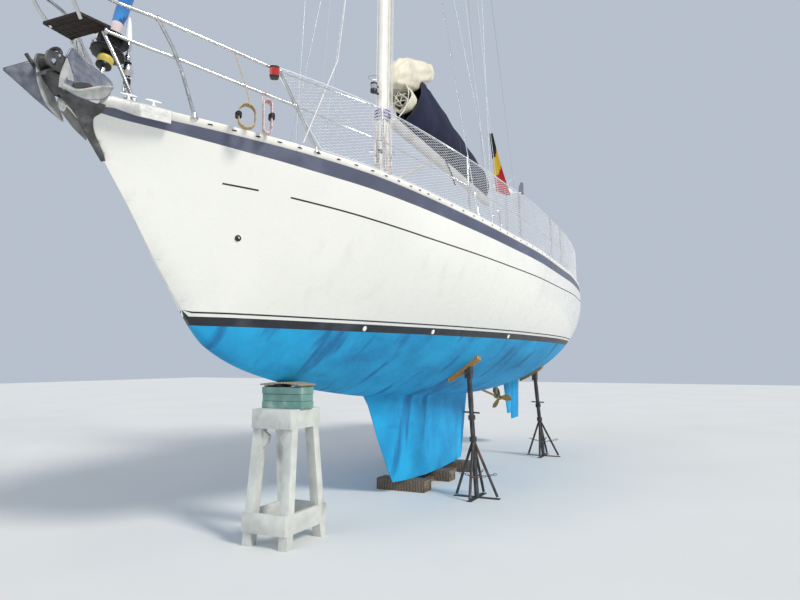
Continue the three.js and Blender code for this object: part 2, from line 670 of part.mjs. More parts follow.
// Pulpit: two rails on raked legs, joined round the bow, with a plank seat.
const RAIL = 14;
function pulpitSide(sign) {
  const top = [
    [-270, 110, 4058], [-160, 165, 4052], [187, 228, 4023],
    [441, 394, 3975], [869, 673, 3880], [1207, 894, 3800],
  ];
  const middle = [
    [20, 140, 3830], [209, 170, 3821], [449, 320, 3773],
    [605, 426, 3743], [1051, 731, 3638], [1360, 942, 3570],
  ];
  const legs = [
    [[1207, 894, 3800], [1360, 942, 3570], [1600, 985, 3230]],
    [[441, 394, 3975], [590, 440, 3735], [718, 500, 3418], [728, 505, 3290]],
    [[-160, 165, 4052], [-70, 165, 3925], [20, 140, 3830]],
    [[209, 170, 3821], [310, 230, 3560], [370, 250, 3330]],
  ];
  const way = (points) => points.map(([s, y, z]) => P(s, sign * y, z));
  return join([
    tube(way(top), RAIL, 16),
    tube(way(middle), RAIL - 1, 16),
    ...legs.map((leg) => tube(way(leg), RAIL, 6)),
  ]);
}
const pulpitFront = [
  tube([
    P(-262, -125, 4058), P(-285, -60, 4059), P(-290, 0, 4060), P(-285, 60, 4059), P(-262, 125, 4058),
  ], RAIL, 8),
  bar(P(14, -145, 3831), P(14, 145, 3831), RAIL - 1, 6),
  bar(P(212, -175, 3822), P(212, 175, 3822), RAIL - 1, 6),
];
const pulpit = join([pulpitSide(1), pulpitSide(-1), ...pulpitFront]).subtract(belowSheer);
add('pulpit', pulpit, 'steel');
add('pulpit_seat', prismZ([[15, -112], [15, 112], [235, 140], [235, -140]], 3850, 3872), 'wood');

// Lifelines: stanchions and two wires a side, from pulpit to pushpit.
const STANCHION_HIGH = 620;
const STANCHIONS = [2300, 3700, 5100, 6600, 7300, 8700, 10200];
const railPoint = (s, up) => [s, hullAt.breadth(s) - 45 - up * 0.03, hullAt.sheer(s) + up];
const PUSHPIT_FORE = 10750;
const LIFELINE_STARTS = { high: [1245, 915, 3792], low: [1420, 955, 3566] };

function lifelineSide() {
  const posts = STANCHIONS.map((s) => {
    const foot = railPoint(s, 3);
    const head = railPoint(s, STANCHION_HIGH);
    return bar(P(...foot), P(...head), 12.5, 8);
  });
  const wire = (up, start) => {
    const stops = [start, ...STANCHIONS.map((s) => railPoint(s, up)), railPoint(PUSHPIT_FORE - 30, up)];
    return stops.slice(1).map((stop, i) => bar(P(...stops[i]), P(...stop), WIRE, 6));
  };
  return join([
    ...posts, ...wire(STANCHION_HIGH - 15, LIFELINE_STARTS.high), ...wire(300, LIFELINE_STARTS.low),
  ]);
}
const lifelinesPort = lifelineSide();
add('lifelines_port', lifelinesPort, 'steel');
add('lifelines_starboard', mirrored(lifelinesPort), 'steel');

// Pushpit round the stern
function pushpitSide(sign) {
  const way = (points) => points.map(([s, y, z]) => P(s, sign * y, z));
  const corner = (up) => [
    railPoint(PUSHPIT_FORE, up), railPoint(11300, up),
    [11850, 1040, 3020 + up], [12010, 720, 3025 + up], [12025, -20, 3025 + up],
  ];
  const post = (s, y, up) => bar(P(s, sign * y, 2950), P(s, sign * y, 3025 + up), RAIL, 6);
  return join([
    tube(way(corner(630)), RAIL, 16),
    tube(way(corner(320)), RAIL - 2, 16),
    post(PUSHPIT_FORE, railPoint(PUSHPIT_FORE, 300)[1], 590),
    post(11800, 1065, 625),
    post(12024, 430, 625),
  ]);
}
const pushpit = cut(join([pushpitSide(1), pushpitSide(-1)]), [belowSheer, moved(toeRail, 0, 0, GAP)]);
add('pushpit', pushpit, 'steel');

// Mast, in a group raked aft about its heel
const MAST_FOOT = roofZ(MAST_S + 170) + 6;
const MAST_LONG = MAST_TOP - MAST_FOOT;
const mastGroup = new THREE.Group();
mastGroup.position.set(-MAST_S, 0, MAST_FOOT);
mastGroup.rotation.y = -MAST_RAKE;
yacht.add(mastGroup);
const MAST_HALF = { long: 112, wide: 78 };

function ovalRing(long, wide, z, sides = 16) {
  return Array.from({ length: sides }, (unused, k) => {
    const a = (k * 2 * Math.PI) / sides;
    return new THREE.Vector3(long * Math.cos(a), wide * Math.sin(a), z);
  });
}
const mastTube = loft([
  ovalRing(MAST_HALF.long, MAST_HALF.wide, 0),
  ovalRing(MAST_HALF.long, MAST_HALF.wide, MAST_LONG * 0.8),
  ovalRing(MAST_HALF.long * 0.8, MAST_HALF.wide * 0.8, MAST_LONG),
]);
const mastStep = loft([ovalRing(150, 120, -4), ovalRing(150, 120, 20)]);
const gooseneckUp = GOOSENECK.z - MAST_FOOT;
const gooseneck = solid(new THREE.BoxGeometry(94, 70, 120).translate(-110, 0, gooseneckUp));
add('mast', join([mastTube, mastStep, gooseneck]), 'mast', mastGroup);

// A point on the raked mast's centre line at height z
const mastAt = (z) => MAST_S + (z - MAST_FOOT) * Math.tan(MAST_RAKE);
const mastSkin = (grow) => {
  const scale = 1 + grow / MAST_HALF.wide;
  const blank = loft([
    ovalRing(MAST_HALF.long * scale, MAST_HALF.wide * scale, -200),
    ovalRing(MAST_HALF.long * scale, MAST_HALF.wide * scale, MAST_LONG + 300),
  ]);
  const geometry = geometryOf(blank).rotateY(-MAST_RAKE).translate(-MAST_S, 0, MAST_FOOT);
  return solid(geometry);
};
const mastClear = mastSkin(GAP);

// Spreaders
const spreaderTip = (sign) => P(mastAt(SPREADER_Z) + 60, sign * SPREADER_REACH, SPREADER_Z + 60);
[['port', 1], ['starboard', -1]].forEach(([side, sign]) => {
  const root = P(mastAt(SPREADER_Z), sign * 20, SPREADER_Z);
  const tip = spreaderTip(sign);
  const blade = bar(root, tip, 38, 8, 24).subtract(mastClear);
  add(`spreader_${side}`, blade, 'mast');
});

// Standing wires: each straight run is a piece of its own.
const chainplate = (s) => P(s, CHAINPLATE_Y, deckZ(s, CHAINPLATE_Y) + 3);
const capFoot = chainplate(MAST_S + 60);
const tipPoint = spreaderTip(1).add(new THREE.Vector3(0, WIRE + 20, 0));
const mastHead = P(mastAt(MAST_TOP - 80), 72, MAST_TOP - 80);
const lowerHead = (aft) => P(mastAt(SPREADER_Z - 150) + (aft ? 60 : -60), 74, SPREADER_Z - 150);
const WIRES = [
  ['cap_shroud_lower', capFoot, tipPoint.clone().add(new THREE.Vector3(0, 0, -35))],
  ['cap_shroud_upper', tipPoint.clone().add(new THREE.Vector3(0, 0, 35)), mastHead],
  ['fore_lower_shroud', chainplate(MAST_S - 420), lowerHead(false)],
  ['aft_lower_shroud', chainplate(MAST_S + 520), lowerHead(true)],
];
WIRES.forEach(([name, foot, head]) => {
  const wire = cut(bar(foot, head, WIRE + 1, 6), [mastClear]);
  const screw = name === 'cap_shroud_upper' ? wire : cut(join([wire, bar(
    foot, foot.clone().lerp(head, 420 / foot.distanceTo(head)), 15, 8)]), [moved(deckBlank, 0, 0, GAP)]);
  add(`${name}_port`, screw, 'steel');
  add(`${name}_starboard`, mirrored(screw), 'steel');
});

// Backstay
const backFoot = P(11995, 0, 3066);
const backHead = P(mastAt(MAST_TOP - 60) + 80, 0, MAST_TOP - 60);
add('backstay', cut(join([
  bar(backFoot, backHead, WIRE + 1, 6),
  bar(backFoot, backFoot.clone().lerp(backHead, 0.03), 17, 8),
]), [mastClear]), 'steel');

// Forestay with its furling drum and rolled genoa, on the stay's own axis
const stayTop = bar(onStay(stayLong - 500), onStay(stayLong + 120), WIRE + 1, 6);
add('forestay_head', stayTop.subtract(mastClear), 'steel');

const furler = new THREE.Group();
furler.position.copy(stayFoot);
furler.quaternion.setFromUnitVectors(new THREE.Vector3(0, 0, 1), stayWay);
yacht.add(furler);
const turned = (profile, sides) => solid(new THREE.LatheGeometry(
  profile.map(([r, h]) => new THREE.Vector2(r, h)), sides).rotateX(Math.PI / 2));
add('furler_drum', turned([
  [0, 98], [58, 98], [62, 120], [62, 175], [40, 185], [40, 205], [115, 210], [120, 225],
  [62, 235], [60, 320], [120, 330], [115, 345], [45, 352], [30, 420], [30, 470], [0, 470],
], 20), 'black', furler);
const rolledTop = stayLong - 520;
add('furled_genoa', turned([
  [0, 472], [40, 472], [48, 700], [75, 1400], [72, 4000], [58, 9000], [36, 13500],
  [20, rolledTop - 60], [0, rolledTop],
], 12), 'genoa', furler);

// Boom, gooseneck and sail under its cover, in a group on the gooseneck's axis
const boomGroup = new THREE.Group();
boomGroup.position.set(-GOOSENECK.s, 0, GOOSENECK.z);
boomGroup.rotation.y = -MAST_RAKE;
yacht.add(boomGroup);

function boomRing(x, half, tall, lift) {
  return Array.from({ length: 12 }, (unused, k) => {
    const a = (k * Math.PI) / 6;
    return new THREE.Vector3(-x, half * Math.cos(a), tall * Math.sin(a) + lift);
  });
}
const boomLow = (x) => 50 - x * 0.026;
const BOOM_TABLE = [
  [8, 8, 40], [70, 40, 60], [110, 62, 92], [BOOM_LONG - 60, 62, 92], [BOOM_LONG, 50, 80],
];
add('boom', loft(BOOM_TABLE.map(([x, half, tall]) => (
  boomRing(x, half, tall, boomLow(x) - 50)))), 'mast', boomGroup);
// Furled mainsail under its cover: distance aft, half-width and half-height of each section, and how far aft
// its top leans
const COVER_TABLE = [
  [400, 180, 474, 500], [800, 180, 451, 350], [1400, 165, 422, 120], [2400, 135, 346, 0], [3600, 110, 241, 0],
  [4060, 85, 201, 0], [4150, 60, 150, 0],
];
const sailCover = loft(COVER_TABLE.map(([x, half, tall, lean]) => (
  boomRing(x, half, tall, boomLow(x) + 42 + tall).map((p) => {
    const share = (p.z - boomLow(x) - 42) / (2 * tall);
    return new THREE.Vector3(p.x - lean * share, p.y, p.z);
  }))));
// The sail's rolled head on top of the cover: distance aft, middle height, half-width and half-height
const BUNDLE_TABLE = [
  [110, 660, 100, 150], [300, 760, 160, 235], [600, 860, 170, 255], [950, 1020, 150, 220], [1250, 1180, 110, 165],
  [1490, 1250, 60, 125],
];
const sailBundle = loft(BUNDLE_TABLE.map(([x, middle, half, tall]) => boomRing(x, half, tall, middle)));
const SAIL_MOUTH = { fore: 370, aft: 800, z: 432, radius: 165 };
const sailMouth = bar(
  new THREE.Vector3(-SAIL_MOUTH.fore, 0, SAIL_MOUTH.z), new THREE.Vector3(-SAIL_MOUTH.aft, 0, SAIL_MOUTH.z),
  SAIL_MOUTH.radius, 16);
add('sail_cover', join([sailCover, sailBundle, sailMouth]), 'cover', boomGroup);
const vang = bar(new THREE.Vector3(-60, 0, -860), new THREE.Vector3(-1400, 0, -176), 28, 10);
add('vang', vang, 'black', boomGroup);

// Steering: pedestal and wheel
const WHEEL = { s: 10480, z: 3330, radius: 430 };
const pedestalBase = block(10200, 10420, -110, 110, COCKPIT.sole + GAP, COCKPIT.sole + 60);
add('pedestal', join([
  pedestalBase,
  loft([[2530, 90, 80], [3250, 70, 65], [3460, 100, 90], [3520, 60, 60]].map(([z, a, b]) => (
    ovalRing(a, b, z, 12).map((p) => p.add(new THREE.Vector3(-10310, 0, 0)))))),
  bar(P(10310, 0, WHEEL.z), P(10425, 0, WHEEL.z), 30, 12),
]), 'white');
const wheelGroup = new THREE.Group();
wheelGroup.position.set(-WHEEL.s, 0, WHEEL.z);
yacht.add(wheelGroup);
const rim = solid(new THREE.TorusGeometry(WHEEL.radius, 14, 6, 30).rotateY(Math.PI / 2));
const spokes = [0, 1, 2, 3, 4].map((k) => {
  const a = (k * 2 * Math.PI) / 5 + Math.PI / 2;
  const end = new THREE.Vector3(0, Math.cos(a) * WHEEL.radius, Math.sin(a) * WHEEL.radius);
  return bar(new THREE.Vector3(0, 0, 0), end, 9, 6);
});
const hubBar = bar(new THREE.Vector3(48, 0, 0), new THREE.Vector3(-30, 0, 0), 34, 12);
add('wheel', join([rim, hubBar, ...spokes]), 'steel', wheelGroup);

// Hatches: each lid sits on its frame and lifts at its forward edge.
const lid = ({ s0, s1, half }, low, thick) => block(s0, s1, -half, half, low, low + thick);
add('fore_hatch', lid(FORE_HATCH, deckZ(FORE_HATCH.s0, 0) + 24, 30), 'window');
add('anchor_locker_lid', lid(ANCHOR_LID, deckZ(ANCHOR_LID.s0, 0) + 24, 20), 'gelcoat');
add('mid_hatch', lid(MID_HATCH, roofZ(MID_HATCH.s1) + 4, 30), 'window');
const SLIDE = { s0: COMPANION.fore - 40, s1: 8790, half: COMPANION.half + 40 };
add('companion_slide', lid(SLIDE, roofZ(COMPANION.fore) + 16, 45), 'gelcoat');

// Winches on the coamings
[['port', 1], ['starboard', -1]].forEach(([side, sign]) => {
  const s = 9900;
  const foot = coamingTop(s) + 4;
  const profile = [
    [0, 0], [85, 0], [88, 15], [70, 30], [58, 60], [56, 110], [66, 140], [66, 160], [40, 175], [0, 175],
  ];
  const drum = turned(profile, 20);
  add(`winch_${side}`, moved(drum, -s, sign * (COCKPIT.half + COCKPIT.coaming / 2 + 5), foot), 'steel');
});

// Wind generator on its pole
const GENERATOR = { s: 11870, y: -420, z: 5480, turn: THREE.MathUtils.degToRad(-25) };
const poleAt = (z) => P(GENERATOR.s, GENERATOR.y, z);
const pole = cut(bar(poleAt(2990), poleAt(GENERATOR.z - 110), 25, 12), [
  moved(deckBlank, 0, 0, GAP), moved(pushpit, 1, 0, 0), moved(pushpit, -1, 0, 0),
]);
add('generator_pole', pole, 'steel');
const generator = new THREE.Group();
generator.position.copy(poleAt(GENERATOR.z));
generator.rotation.z = GENERATOR.turn;
yacht.add(generator);
const nacelle = solid(new THREE.LatheGeometry([
  [0, -190], [40, -170], [75, -90], [85, 0], [80, 80], [60, 120], [0, 120],
].map(([r, h]) => new THREE.Vector2(r, h)), 16).rotateZ(-Math.PI / 2));
const tail = join([
  bar(new THREE.Vector3(-150, 0, 0), new THREE.Vector3(-520, 0, 40), 14, 8),
  solid(new THREE.BoxGeometry(190, 8, 300).translate(-520, 0, 150)),
]);
const yawPost = bar(new THREE.Vector3(0, 0, -104), new THREE.Vector3(0, 0, 0), 32, 12);
add('generator_body', join([nacelle, tail, yawPost]), 'white', generator);
const rotor = new THREE.Group();
rotor.position.x = 170;
generator.add(rotor);
const rotorHub = solid(new THREE.LatheGeometry([
  [0, -30], [60, -30], [60, 10], [45, 40], [0, 62],
].map(([r, h]) => new THREE.Vector2(r, h)), 16).rotateZ(-Math.PI / 2));
const blades = [0, 1, 2, 3, 4, 5].map((k) => {
  const blade = new THREE.BoxGeometry(8, 60, 420).translate(0, 0, 245);
  return solid(blade.rotateZ(0.3).rotateX((k * Math.PI) / 3));
});
add('generator_rotor', join([rotorHub, ...blades]), 'white', rotor);

// Ensign hanging limp from a halyard between the port rail and the spreader. Sections: z, s, y, reach aft.
const ENSIGN = [[3725, 5190, 1410, 150], [3900, 5175, 1395, 110], [4200, 5150, 1370, 50], [4470, 5130, 1345, 14]];
add('ensign', loft(ENSIGN.map(([z, s, y, reach]) => [
  P(s, y, z), P(s + reach, y + reach * 0.8, z), P(s + reach + 6, y + reach * 0.8 - 25, z), P(s + 12, y - 35, z),
])), 'flag');

// What it stands on: keel blocks, bow trestle and side props
const BLOCKS = [5250, 6150, 7050];
const keelBlocks = BLOCKS.map((s) => block(s, s + 250, -350, 350, GROUND, KEEL_FOOT - GAP));
const blockTie = block(BLOCKS[0], BLOCKS[2] + 250, -120, 120, GROUND, GROUND + 60);
add('keel_blocks', join([...keelBlocks, blockTie]), 'timber');

const TRESTLE = {
  top: 1110,
  leg: 95,
  head: { fore: 2390, aft: 2702, half: 170, mid: 68 },
  foot: { fore: 2290, aft: 2870, half: 205, mid: 48 },
  boardHigh: 180,
  boardThick: 40,
  railLow: 70,
};

function trestleLeg(sign, end) {
  const { head, foot, leg, top } = TRESTLE;
  const ring = ({ half, mid, ...at }, z) => [[-1, -1], [1, -1], [1, 1], [-1, 1]].map(([a, b]) => (
    P(at[end] + (a * leg) / 2, mid + sign * half + (b * leg) / 2, z)));
  return loft([ring(foot, GROUND), ring(head, top)]);
}

// A frame of four boards round the legs, set out at its own height
function trestleBoards(low) {
  const { head, foot, leg, top, boardHigh, boardThick } = TRESTLE;
  const high = Math.min(low + boardHigh, top);
  const t = ((low + high) / 2 - GROUND) / (top - GROUND);
  const at = (key) => foot[key] + (head[key] - foot[key]) * t;
  const s0 = at('fore') - leg / 2;
  const s1 = at('aft') + leg / 2;
  const y0 = at('mid') - at('half') - leg / 2;
  const y1 = at('mid') + at('half') + leg / 2;
  const board = (a, b, c, d) => block(a, b, c, d, low, high);
  return join([
    board(s0 - boardThick, s0 + 5, y0, y1),
    board(s1 - 5, s1 + boardThick, y0, y1),
    board(s0, s1, y1 - boardThick, y1),
    board(s0, s1, y0, y0 + boardThick),
  ]);
}

const gusset = (sign) => prismX([[175, 940], [60, 860], [80, 790], [175, 700]].map(([y, z]) => (
  [TRESTLE.head.mid + sign * y, z])), 2350, 2390);
add('bow_trestle', join([
  trestleLeg(1, 'fore'), trestleLeg(-1, 'fore'), trestleLeg(1, 'aft'), trestleLeg(-1, 'aft'),
  trestleBoards(TRESTLE.top - TRESTLE.boardHigh), trestleBoards(TRESTLE.railLow - TRESTLE.boardHigh / 2),
  block(2350, 2745, -135, 270, TRESTLE.top - 30, TRESTLE.top), gusset(1), gusset(-1),
]), 'trestle');

const bowBlock = block(2440, 2650, -150, 310, TRESTLE.top + GAP, 1330);
const bowCap = block(2425, 2665, -165, 325, 1325, 1375);
add('bow_block', join([bowBlock, bowCap]).subtract(hullDrop), 'timber');

const PAD_THICK = 50;

// Side props. Columns: name, side, s, y and z of the pad's middle, s and y of the foot.
const PROPS = [
  ['prop_fore_port', 1, 5300, 900, 1470, 5280, 1060],
  ['prop_fore_starboard', -1, 7600, 900, 1328, 7580, 1060],
  ['prop_aft_port', 1, 9000, 830, 1348, 9330, 940],
  ['prop_aft_starboard', -1, 9000, 830, 1348, 9330, 940],
];
const belowGround = block(0, 13000, -3000, 3000, GROUND - 200, GROUND);
PROPS.forEach(([name, sign, s, y, z, footS, footY]) => {
  const head = P(s, y + 60, z - 20);
  const foot = P(footS, footY, GROUND + 6);
  const padBlank = block(s - 70, s + 70, y - 200, y + 200, z - 260, z + 300);
  const pad = padBlank.intersect(moved(hullBlank, 0, 0, -PAD_THICK));
  const brace = (ds, dy) => (
    bar(P(footS + ds, footY + dy, GROUND + 30), foot.clone().lerp(head, 0.45), 18, 8));
  const base = (ds, dy) => (
    block(footS - ds, footS + ds, footY - dy, footY + dy, GROUND, GROUND + 12));
  const swivel = block(s - 50, s + 50, y + 20, y + 100, z - 130, z + 20);
  const prop = join([
    bar(foot, head, 32, 10), brace(270, 0), brace(-270, 0), brace(0, 270), brace(0, -270),
    base(300, 30), base(30, 300), swivel, pad,
  ]).subtract(belowGround);
  add(name, (sign > 0 ? prop : mirrored(prop)).subtract(hullDrop), 'prop');
});

export default yacht;
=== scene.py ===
"""Looks for a sailing yacht laid up ashore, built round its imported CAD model.

Lengths are metres. A place on the boat is given as s, metres aft of the stem head, y to port, and z above the
keel's foot. point(s, y, z) turns that into the model's own frame.
"""

from math import ceil, copysign, cos, pi, radians, sin, sqrt, tan

import bmesh
import bpy
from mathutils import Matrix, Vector, noise
from mathutils.bvhtree import BVHTree


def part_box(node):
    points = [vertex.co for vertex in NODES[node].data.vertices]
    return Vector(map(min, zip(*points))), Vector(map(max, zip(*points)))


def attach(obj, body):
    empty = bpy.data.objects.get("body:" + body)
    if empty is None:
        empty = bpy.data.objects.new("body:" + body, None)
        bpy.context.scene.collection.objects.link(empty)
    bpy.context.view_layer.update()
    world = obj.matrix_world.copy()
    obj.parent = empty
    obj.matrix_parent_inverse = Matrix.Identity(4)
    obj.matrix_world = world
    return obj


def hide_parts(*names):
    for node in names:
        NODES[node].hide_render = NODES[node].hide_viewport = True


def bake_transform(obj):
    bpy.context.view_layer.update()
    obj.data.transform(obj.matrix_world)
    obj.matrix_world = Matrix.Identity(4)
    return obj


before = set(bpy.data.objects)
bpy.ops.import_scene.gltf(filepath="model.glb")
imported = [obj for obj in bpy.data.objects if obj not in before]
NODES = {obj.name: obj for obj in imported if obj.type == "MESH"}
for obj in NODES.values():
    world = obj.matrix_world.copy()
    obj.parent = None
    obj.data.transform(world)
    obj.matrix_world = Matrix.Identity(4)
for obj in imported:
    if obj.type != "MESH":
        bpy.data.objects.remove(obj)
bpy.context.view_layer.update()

RUDDER_FOOT = 0.39
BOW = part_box("hull")[1].x
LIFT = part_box("rudder")[0].z - RUDDER_FOOT
UP = Vector((0, 0, 1))
PORT = Vector((0, 1, 0))
AFT = Vector((-1, 0, 0))
TAU = 2 * pi
SIDES = ((1, "port"), (-1, "starboard"))


def point(s, y, z):
    return Vector((BOW - s, y, z + LIFT))


# Camera: at eye level off the port bow, looking aft and a little up.
CAMERA_AHEAD = 2.916
CAMERA_PORT = 3.883
CAMERA_HIGH = 1.567
CAMERA_YAW = radians(25.417)
CAMERA_PITCH = radians(5.181)
FOCAL_PIXELS = 669.115
IMAGE_WIDE = 800
SENSOR = 36.0
VIEW_REACH = 300.0

camera = bpy.data.objects.new("camera", bpy.data.cameras.new("camera"))
bpy.context.scene.collection.objects.link(camera)
camera.location = point(-CAMERA_AHEAD, CAMERA_PORT, CAMERA_HIGH)
camera_way = Vector((
    -cos(CAMERA_YAW) * cos(CAMERA_PITCH),
    -sin(CAMERA_YAW) * cos(CAMERA_PITCH),
    sin(CAMERA_PITCH),
))
camera.rotation_euler = camera_way.to_track_quat("-Z", "Y").to_euler()
camera.data.lens = FOCAL_PIXELS * SENSOR / IMAGE_WIDE
camera.data.sensor_width = SENSOR
camera.data.clip_end = VIEW_REACH
bpy.context.scene.camera = camera


# Fair lines: a monotone cubic through each column of a table.
def fair_line(xs, ys):
    steps = [b - a for a, b in zip(xs, xs[1:])]
    slopes = [(b - a) / h for a, b, h in zip(ys, ys[1:], steps)]
    tangents = [slopes[0]]
    for i in range(1, len(xs) - 1):
        before, after = slopes[i - 1], slopes[i]
        if before * after <= 0:
            tangents.append(0.0)
        else:
            w1 = 2 * steps[i] + steps[i - 1]
            w2 = steps[i] + 2 * steps[i - 1]
            tangents.append((w1 + w2) / (w1 / before + w2 / after))
    tangents.append(slopes[-1])

    def at(x):
        i = 0
        while i < len(steps) - 1 and x > xs[i + 1]:
            i += 1
        h = steps[i]
        t = (x - xs[i]) / h
        rise = slopes[i] * h
        c = 3 * rise - (2 * tangents[i] + tangents[i + 1]) * h
        d = (tangents[i] + tangents[i + 1]) * h - 2 * rise
        return ys[i] + tangents[i] * h * t + c * t * t + d * t ** 3

    return at


# Hull sections: s, breadth, sheer, bottom, fullness, power, bulge
HULL_TABLE = [
    (0.0, 0.08, 3.366, 3.285, 1.05, 0.6, 0),
    (0.12, 0.158, 3.362, 3.225, 1.05, 0.6, 0),
    (0.5, 0.38, 3.345, 2.815, 1.05, 0.78, 0),
    (1.0, 0.67, 3.32, 2.175, 1.08, 1.02, 0),
    (1.5, 0.95, 3.285, 1.66, 1.12, 1.15, 0),
    (2.2, 1.26, 3.23, 1.42, 1.22, 1.2, 0),
    (3.2, 1.51, 3.15, 1.25, 1.5, 1.28, 0),
    (4.5, 1.71, 3.07, 1.12, 1.85, 1.35, 0.01),
    (6.0, 1.82, 3.01, 1.05, 2.1, 1.45, 0.02),
    (7.5, 1.8, 2.975, 1.03, 2.25, 1.55, 0.035),
    (9.0, 1.67, 2.965, 1.09, 2.3, 1.62, 0.05),
    (10.5, 1.42, 2.985, 1.32, 2.2, 1.65, 0.06),
    (11.6, 1.17, 3.01, 1.62, 2.1, 1.65, 0.06),
    (12.5, 0.93, 3.04, 1.98, 2.0, 1.65, 0.06),
]
STATIONS = [row[0] for row in HULL_TABLE]
breadth, sheer, bottom, fullness, power, bulge = [
    fair_line(STATIONS, [row[k] for row in HULL_TABLE]) for k in range(1, 7)]
KEEL_FLAT, STEM_FLAT, FULL_FLAT_AT = 0.03, 0.4, 1.2
CAPPING_HIGH = 0.05
CAMBER = 0.05
TRANSOM_TOP = (12.06, 3.04)
TRANSOM_LOW = (12.5, 1.98)


def half_breadth(s, z):
    low = bottom(s)
    q = share(z, low, sheer(s))
    curve = (1 - (1 - q) ** fullness(s)) ** (1 / power(s))
    flat = KEEL_FLAT * lerp(STEM_FLAT, 1.0, share(s, 0.0, FULL_FLAT_AT))
    return flat + (breadth(s) - flat) * (curve + bulge(s) * 4 * q * (1 - q))


def deck_z(s, y):
    edge = breadth(s)
    return sheer(s) - CAPPING_HIGH + CAMBER * edge * (1 - (y / edge) ** 2)


def transom_s(z):
    (s0, z0), (s1, z1) = TRANSOM_TOP, TRANSOM_LOW
    return s0 + (s1 - s0) * (z0 - z) / (z0 - z1)


def lerp(a, b, t):
    return a + (b - a) * t


def share(x, low, high):
    """How far x is on the way from low to high, kept from 0 to 1."""
    return min(1.0, max(0.0, (x - low) / (high - low)))


def spread(low, high, count):
    return [lerp(low, high, k / (count - 1)) for k in range(count)]


def loop(centre, u, v, wide, high, count=25):
    """A closed oval path, wide along u and high along v; its last point is its first."""
    return [centre + u * (wide * cos(a)) + v * (high * sin(a)) for a in spread(0, TAU, count)]


def table_line(rows):
    """Functions of the first column, one for each other column."""
    xs = [row[0] for row in rows]
    return [fair_line(xs, [row[k] for row in rows]) for k in range(1, len(rows[0]))]


# Shader graphs
class Graph:
    def __init__(self, name):
        self.material = bpy.data.materials.new(name)
        self.material.use_nodes = True
        self.tree = self.material.node_tree
        self.shader = self.tree.nodes["Principled BSDF"]
        self.coords = self.node("ShaderNodeTexCoord").outputs["Object"]

    def node(self, kind, settings=(), **inputs):
        made = self.tree.nodes.new(kind)
        for key, value in dict(settings).items():
            setattr(made, key, value)
        for key, value in inputs.items():
            self.plug(value, made.inputs[key])
        return made

    def plug(self, value, socket):
        if isinstance(value, bpy.types.NodeSocket):
            self.tree.links.new(value, socket)
        else:
            socket.default_value = value

    def where(self, stretch):
        return self.node("ShaderNodeMapping", Vector=self.coords, Scale=stretch).outputs[0]

    def noise(self, scale, detail=4.0, stretch=(1, 1, 1)):
        made = self.node("ShaderNodeTexNoise", Vector=self.where(stretch), Scale=scale, Detail=detail)
        return made.outputs["Fac"]

    def bands(self, scale, axis, stretch=(1, 1, 1), distortion=0.0):
        made = self.node(
            "ShaderNodeTexWave", {"bands_direction": axis}, Vector=self.where(stretch), Scale=scale,
            Distortion=distortion)
        return made.outputs["Fac"]

    def fit(self, value, low, high, to_low=0.0, to_high=1.0):
        made = self.node("ShaderNodeMapRange", {"clamp": True}, Value=value)
        for key, number in zip(("From Min", "From Max", "To Min", "To Max"), (low, high, to_low, to_high)):
            made.inputs[key].default_value = number
        return made.outputs[0]

    def mix(self, factor, a, b):
        made = self.node("ShaderNodeMix", {"data_type": "RGBA"})
        for index, value in ((0, factor), (6, a), (7, b)):
            self.plug(value, made.inputs[index])
        return made.outputs[2]

    def product(self, a, b):
        return self.node_pair("MULTIPLY", a, b)

    def node_pair(self, operation, a, b):
        made = self.node("ShaderNodeMath", {"operation": operation})
        self.plug(a, made.inputs[0])
        self.plug(b, made.inputs[1])
        return made.outputs[0]

    def bump(self, height, strength, distance):
        made = self.node("ShaderNodeBump", Height=height, Strength=strength, Distance=distance)
        self.plug(made.outputs[0], self.shader.inputs["Normal"])

    def put(self, **values):
        for key, value in values.items():
            self.plug(value, self.shader.inputs[key.replace("_", " ")])


def tint(color, gain):
    return tuple(min(1.0, c * gain) for c in color[:3]) + (1.0,)


def look(
        name, color, rough=0.5, metal=0.0, vary=0.08, scale=5.0, grain=0.0, grain_scale=350.0, dirt=None,
        dirt_scale=2.5, dirt_from=0.55, dirt_to=0.75, stretch=(1, 1, 1), coat=0.0, rough_vary=0.08):
    """A painted, cast or moulded surface: uneven tone, patches of dirt or wear, and fine grain."""
    g = Graph(name)
    tone = g.fit(g.noise(scale), 0.35, 0.65)
    shade = g.mix(tone, tint(color, 1 - vary), tint(color, 1 + vary))
    if dirt:
        patch = g.fit(g.noise(dirt_scale, 8.0, stretch), dirt_from, dirt_to)
        shade = g.mix(patch, shade, tint(dirt, 1.0))
    g.put(Base_Color=shade, Metallic=metal)
    g.put(Roughness=g.fit(g.noise(scale * 4), 0.3, 0.7, max(0.02, rough - rough_vary), rough + rough_vary))
    if coat:
        g.put(Coat_Weight=coat)
    if grain:
        g.bump(g.noise(grain_scale, 6.0), grain, 0.002)
    return g.material


def cloth(name, color, thread=900.0, vary=0.1, fade=None, rough=0.85, sheen=0.2, crease=0.35):
    """Woven cloth: fine threads both ways, soft creases and sun-faded patches."""
    g = Graph(name)
    tone = g.fit(g.noise(3.0, 6.0), 0.35, 0.65)
    shade = g.mix(tone, tint(color, 1 - vary), tint(color, 1 + vary))
    if fade:
        shade = g.mix(g.fit(g.noise(1.6, 5.0), 0.5, 0.72), shade, tint(fade, 1.0))
    threads = g.product(g.bands(thread / 6.28, "X"), g.bands(thread / 6.28, "Z"))
    folds = g.noise(9.0, 5.0, (1, 1, 0.6))
    height = g.node_pair("ADD", g.product(threads, 0.02), g.product(folds, crease))
    g.put(Base_Color=shade, Roughness=rough, Sheen_Weight=sheen)
    g.bump(height, 0.5, 0.02)
    return g.material


